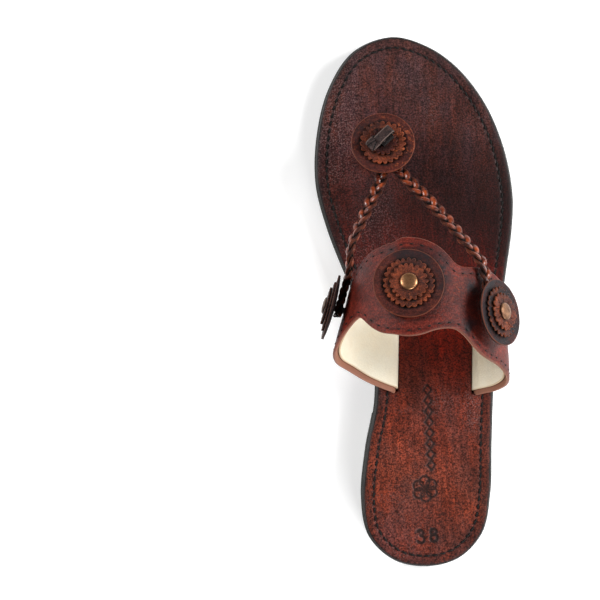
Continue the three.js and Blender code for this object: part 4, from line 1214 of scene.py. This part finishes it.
brass = brass_material()
for name, (side, y, seat, _) in ROSETTES.items():
    place = rosette_place(side, y)
    foot = seat + 3 * DISC_STEP + 0.05
    end = BURR_TOP - BURR_THICKNESS
    bow = np.linspace(0, math.pi / 2, 14)
    dome = [(RIVET_HEAD_RADIUS * math.cos(a) ** 0.7, foot + 0.35 + 0.95 * math.sin(a)) for a in bow[:-1]]
    profile = [(0, end - 0.55), (0.9, end - 0.5), (1.7, end - 0.2), (1.9, end - 0.02)]
    profile += [(RIVET_POST_RADIUS, end + 0.01)]
    profile += [(RIVET_POST_RADIUS, level) for level in np.linspace(end + 0.2, foot - 0.05, 8)]
    profile += [(2.4, foot), (3.7, foot), (RIVET_HEAD_RADIUS, foot + 0.12)] + dome + [(0, foot + 1.3)]
    points, faces = lathe(profile, 48)
    level = points[:, 2]
    dark = np.maximum(1 - step(level, foot + 0.15, foot + 0.5), HEAD_DARKENING[name] * (level > foot))
    cap = f"{name}_rivet_cap"
    piece(cap, placed(place, points), faces, brass, "sandal", [cap], {"dark": dark})
    bore = RIVET_POST_RADIUS + 0.1
    profile = [
        (bore, end), (BURR_RADIUS - 0.25, end), (BURR_RADIUS, end + 0.2), (BURR_RADIUS, BURR_TOP - 0.2),
        (BURR_RADIUS - 0.2, BURR_TOP), (bore, BURR_TOP), (bore, end),
    ]
    points, faces = lathe(profile, 40)
    burr, clean = f"{name}_rivet_burr", {"dark": np.zeros(len(points))}
    piece(burr, placed(place, points), faces, brass, "sandal", [burr], clean)

# ---------------------------------------------------------------- toe rosette
# Three more discs on the toe post's neck, a plain dark one and two pinked ones, loose like the others.
TOE_BASE_DIAMETER = 29.6
TOE_PINKED_DIAMETER, TOE_PINKED_TEETH = 21.6, 23
TOE_SMALL_DIAMETER, TOE_SMALL_TEETH = 13.6, 15
NECK_HOLE_RADIUS = 2.0
toe_stack = [
    ("toe_base_disc", TOE_BASE_DIAMETER, 0, disc_leather, "disc_leather"),
    ("toe_pinked_disc", TOE_PINKED_DIAMETER, TOE_PINKED_TEETH, tan_leather, "tan_leather"),
    ("toe_small_disc", TOE_SMALL_DIAMETER, TOE_SMALL_TEETH, disc_leather, "disc_leather"),
]
for layer, (name, diameter, count, leather, slot) in enumerate(toe_stack):
    points, faces, marks = leather_disc(
        TOE_DISC_LEVEL + layer * DISC_STEP, diameter, NECK_HOLE_RADIUS, count, 0.08, 0.3 * layer, 0, 0.0,
        (TOE_PINKED_DIAMETER, TOE_SMALL_DIAMETER, 0.0)[layer],
    )
    # Painted shade and light: each toe disc is darkened on its left side and gets more pale flecks on its
    # right, as if lit from the right; the rest of the flecks are wear.
    marks["stain_and_shade"] = 0.35 * (1 - step(points[:, 0], -0.15 * diameter, 0.1 * diameter))
    marks["worn"] = 0.35 + 0.8 * step(points[:, 0], 0.05 * diameter, 0.3 * diameter)
    piece(name, placed(toe_place, points), faces, leather, "toe_rosette", [name], marks)

# ---------------------------------------------------------------- toe knot
# The post's lace comes up through the discs and is folded over itself into a flat block that holds
# them. Its end comes out from under the block on the inner side as a short creased tab.
KNOT_TURN = math.radians(40)
LACE_WIDTH, LACE_THICKNESS = 4.4, 1.25
TAB_WIDTH, TAB_THICKNESS = 5.8, 1.2
# A black slab under the block's lower side stands in for its shadow: painted shadow.
SHADOW_SLAB_WIDTH, SHADOW_SLAB_THICKNESS = 4.2, 1.7
BLOCK_ASIDE = 1.2
FOLD_POINTS = [
    (-1.6, 0.75), (4.6, 0.75), (6.0, 1.6), (5.6, 3.1), (2.2, 3.7), (-1.4, 3.4), (-2.5, 2.5), (-1.8, 1.7),
]


def edge_highlight(across, low, high):
    """A pale band of painted highlight along a lace's two edges, from shares low to high of its half width.
    """
    return step(across, low, high) * (1 - step(across, 0.97, 1.0))


fold = smooth_curve(FOLD_POINTS, 120)
along = np.array([math.cos(KNOT_TURN), math.sin(KNOT_TURN), 0.0])
beside = np.array([-math.sin(KNOT_TURN), math.cos(KNOT_TURN), 0.0])
upright = np.array([0.0, 0.0, 1.0])
base = BLOCK_ASIDE * beside + KNOT_LEVEL * upright
block_path = fold[:, :1] * along + base + fold[:, 1:] * upright
block_up = np.cross(beside[None], np.gradient(block_path, axis=0))
section = flat_section(LACE_WIDTH, LACE_THICKNESS, 40, 6)
across = np.abs(section[:, 0]) / (LACE_WIDTH / 2)
parts = [swept(block_path, block_up, section)]
# Painted highlights: pale bands along the top edges of the block and the tab.
highlights = [np.tile(edge_highlight(across, 0.72, 0.9), len(fold))]
# Painted shade on the block's side faces.
shades = [np.tile(0.9 * step(across, 0.975, 1.0), len(fold))]
# The black slab of painted shadow under the block.
shadow_slab_path = base - 1.7 * beside + np.linspace(-1.8, 4.9, 30)[:, None] * along + 0.95 * upright
shadow_slab = swept(shadow_slab_path, upright[None], flat_section(SHADOW_SLAB_WIDTH, SHADOW_SLAB_THICKNESS, 24, 4))
parts.append(shadow_slab)
highlights.append(np.zeros(len(shadow_slab[0])))
shades.append(np.full(len(shadow_slab[0]), 0.9))
t = np.linspace(0, 1, 60)[:, None]
tab_path = base + 0.5 * beside - (0.6 + 6.6 * t) * along + (1.7 + 0.9 * np.sin(np.pi * t)) * upright
section = flat_section(TAB_WIDTH, TAB_THICKNESS, 60, 5)
section = even_points(np.vstack([section, section[:1]]), 73)[:-1]
width = np.interp(t, [0, 0.3, 0.85, 1], [0.7, 1, 1, 0.8])
tab = np.stack([section[:, 0] * width, section[:, 1] + 0 * width], -1)
crease = np.minimum(np.abs(tab[..., 0] - 1.5 * (t - 0.2)), np.abs(tab[..., 0] + 3.4 * (t - 0.25)))
crease = (1 - step(crease, 0.15, 0.6)) * (section[:, 1] > 0)
across = np.abs(section[:, 0]) / (TAB_WIDTH / 2)
tab[..., 1] += 0.5 * across * t - 0.3 * crease
parts.append(swept(tab_path, upright[None], tab))
highlights.append((edge_highlight(across, 0.8, 0.93) + 0 * t).reshape(-1))
# Painted shade on the tab's crease, its side faces and its start under the block.
under_block_shade = 1 - step(t, 0.33, 0.42)
shades.append(np.maximum(np.maximum(step(across, 0.97, 1.0), crease), under_block_shade).reshape(-1))
points, faces = joined(parts)
marks = {"rim": 0.5 * np.concatenate(highlights), "dark": np.concatenate(shades)}
points = placed(toe_place, points)
piece("toe_knot", points, faces, lace_leather, "sandal", ["toe_knot"], marks)

# ---------------------------------------------------------------- floor, light and camera
# A pale matt floor, which glows faintly as painted light that lifts its shadows, three large soft lights and
# a camera straight above.
floor_mesh = bpy.data.meshes.new("floor")
floor_mesh.from_pydata([(-3, -3, 0), (3, -3, 0), (3, 3, 0), (-3, 3, 0)], [], [(0, 1, 2, 3)])
floor = bpy.data.objects.new("floor", floor_mesh)
bpy.context.scene.collection.objects.link(floor)
floor_paint, tree, shader, position = new_material("floor_paint")
grain = scaled_noise(tree, position, 900, 2)
tone = mix_colour(tree, grain, colour(240, 240, 240), colour(246, 246, 246))
tree.links.new(tone, shader.inputs["Base Color"])
shader.inputs["Roughness"].default_value = 0.9
shader.inputs["Specular IOR Level"].default_value = 0.1
# Painted light: the floor's faint glow lifts its shadows and lights the sandal from below.
shader.inputs["Emission Color"].default_value = (1, 1, 1, 1)
shader.inputs["Emission Strength"].default_value = 0.22
floor_mesh.materials.append(floor_paint)

FRAME_WIDTH = 286.8
SOLE_PLANE = 8.0
CAMERA_HEIGHT = 1000.0
CAMERA_X, CAMERA_Y = -50.5, 4.7
LEAN = math.radians(-4.525)
camera_data = bpy.data.cameras.new("camera")
camera_data.sensor_width = 36.0
camera_data.lens = 36.0 * CAMERA_HEIGHT / FRAME_WIDTH
camera_data.clip_end = 20.0
camera = bpy.data.objects.new("camera", camera_data)
bpy.context.scene.collection.objects.link(camera)
camera_place = SHIFT + (CAMERA_X, CAMERA_Y, CAMERA_HEIGHT + SOLE_PLANE)
camera.location = (camera_place * 0.001).tolist()
camera.rotation_euler = (0, 0, LEAN)
bpy.context.scene.camera = camera


def soft_light(name, place, size, power):
    """A square softbox at place, in metres, that faces the sandal."""
    lamp = bpy.data.lights.new(name, "AREA")
    lamp.shape = "SQUARE"
    lamp.size = size
    lamp.energy = power
    made = bpy.data.objects.new(name, lamp)
    bpy.context.scene.collection.objects.link(made)
    made.location = place
    made.rotation_euler = (-Vector(place)).to_track_quat("-Z", "Y").to_euler()
    return made


soft_light("light_right", (1.5, 0.3, 1.0), 0.8, 44)
soft_light("light_left", (-1.4, 0.8, 1.1), 0.9, 36)
soft_light("light_heel", (0.7, -1.45, 0.9), 0.9, 28)
world = bpy.data.worlds.new("studio")
bpy.context.scene.world = world
world.use_nodes = True
world.node_tree.nodes["Background"].inputs[0].default_value = (1, 1, 1, 1)
world.node_tree.nodes["Background"].inputs[1].default_value = 0.12
bpy.context.scene.view_settings.view_transform = "Standard"
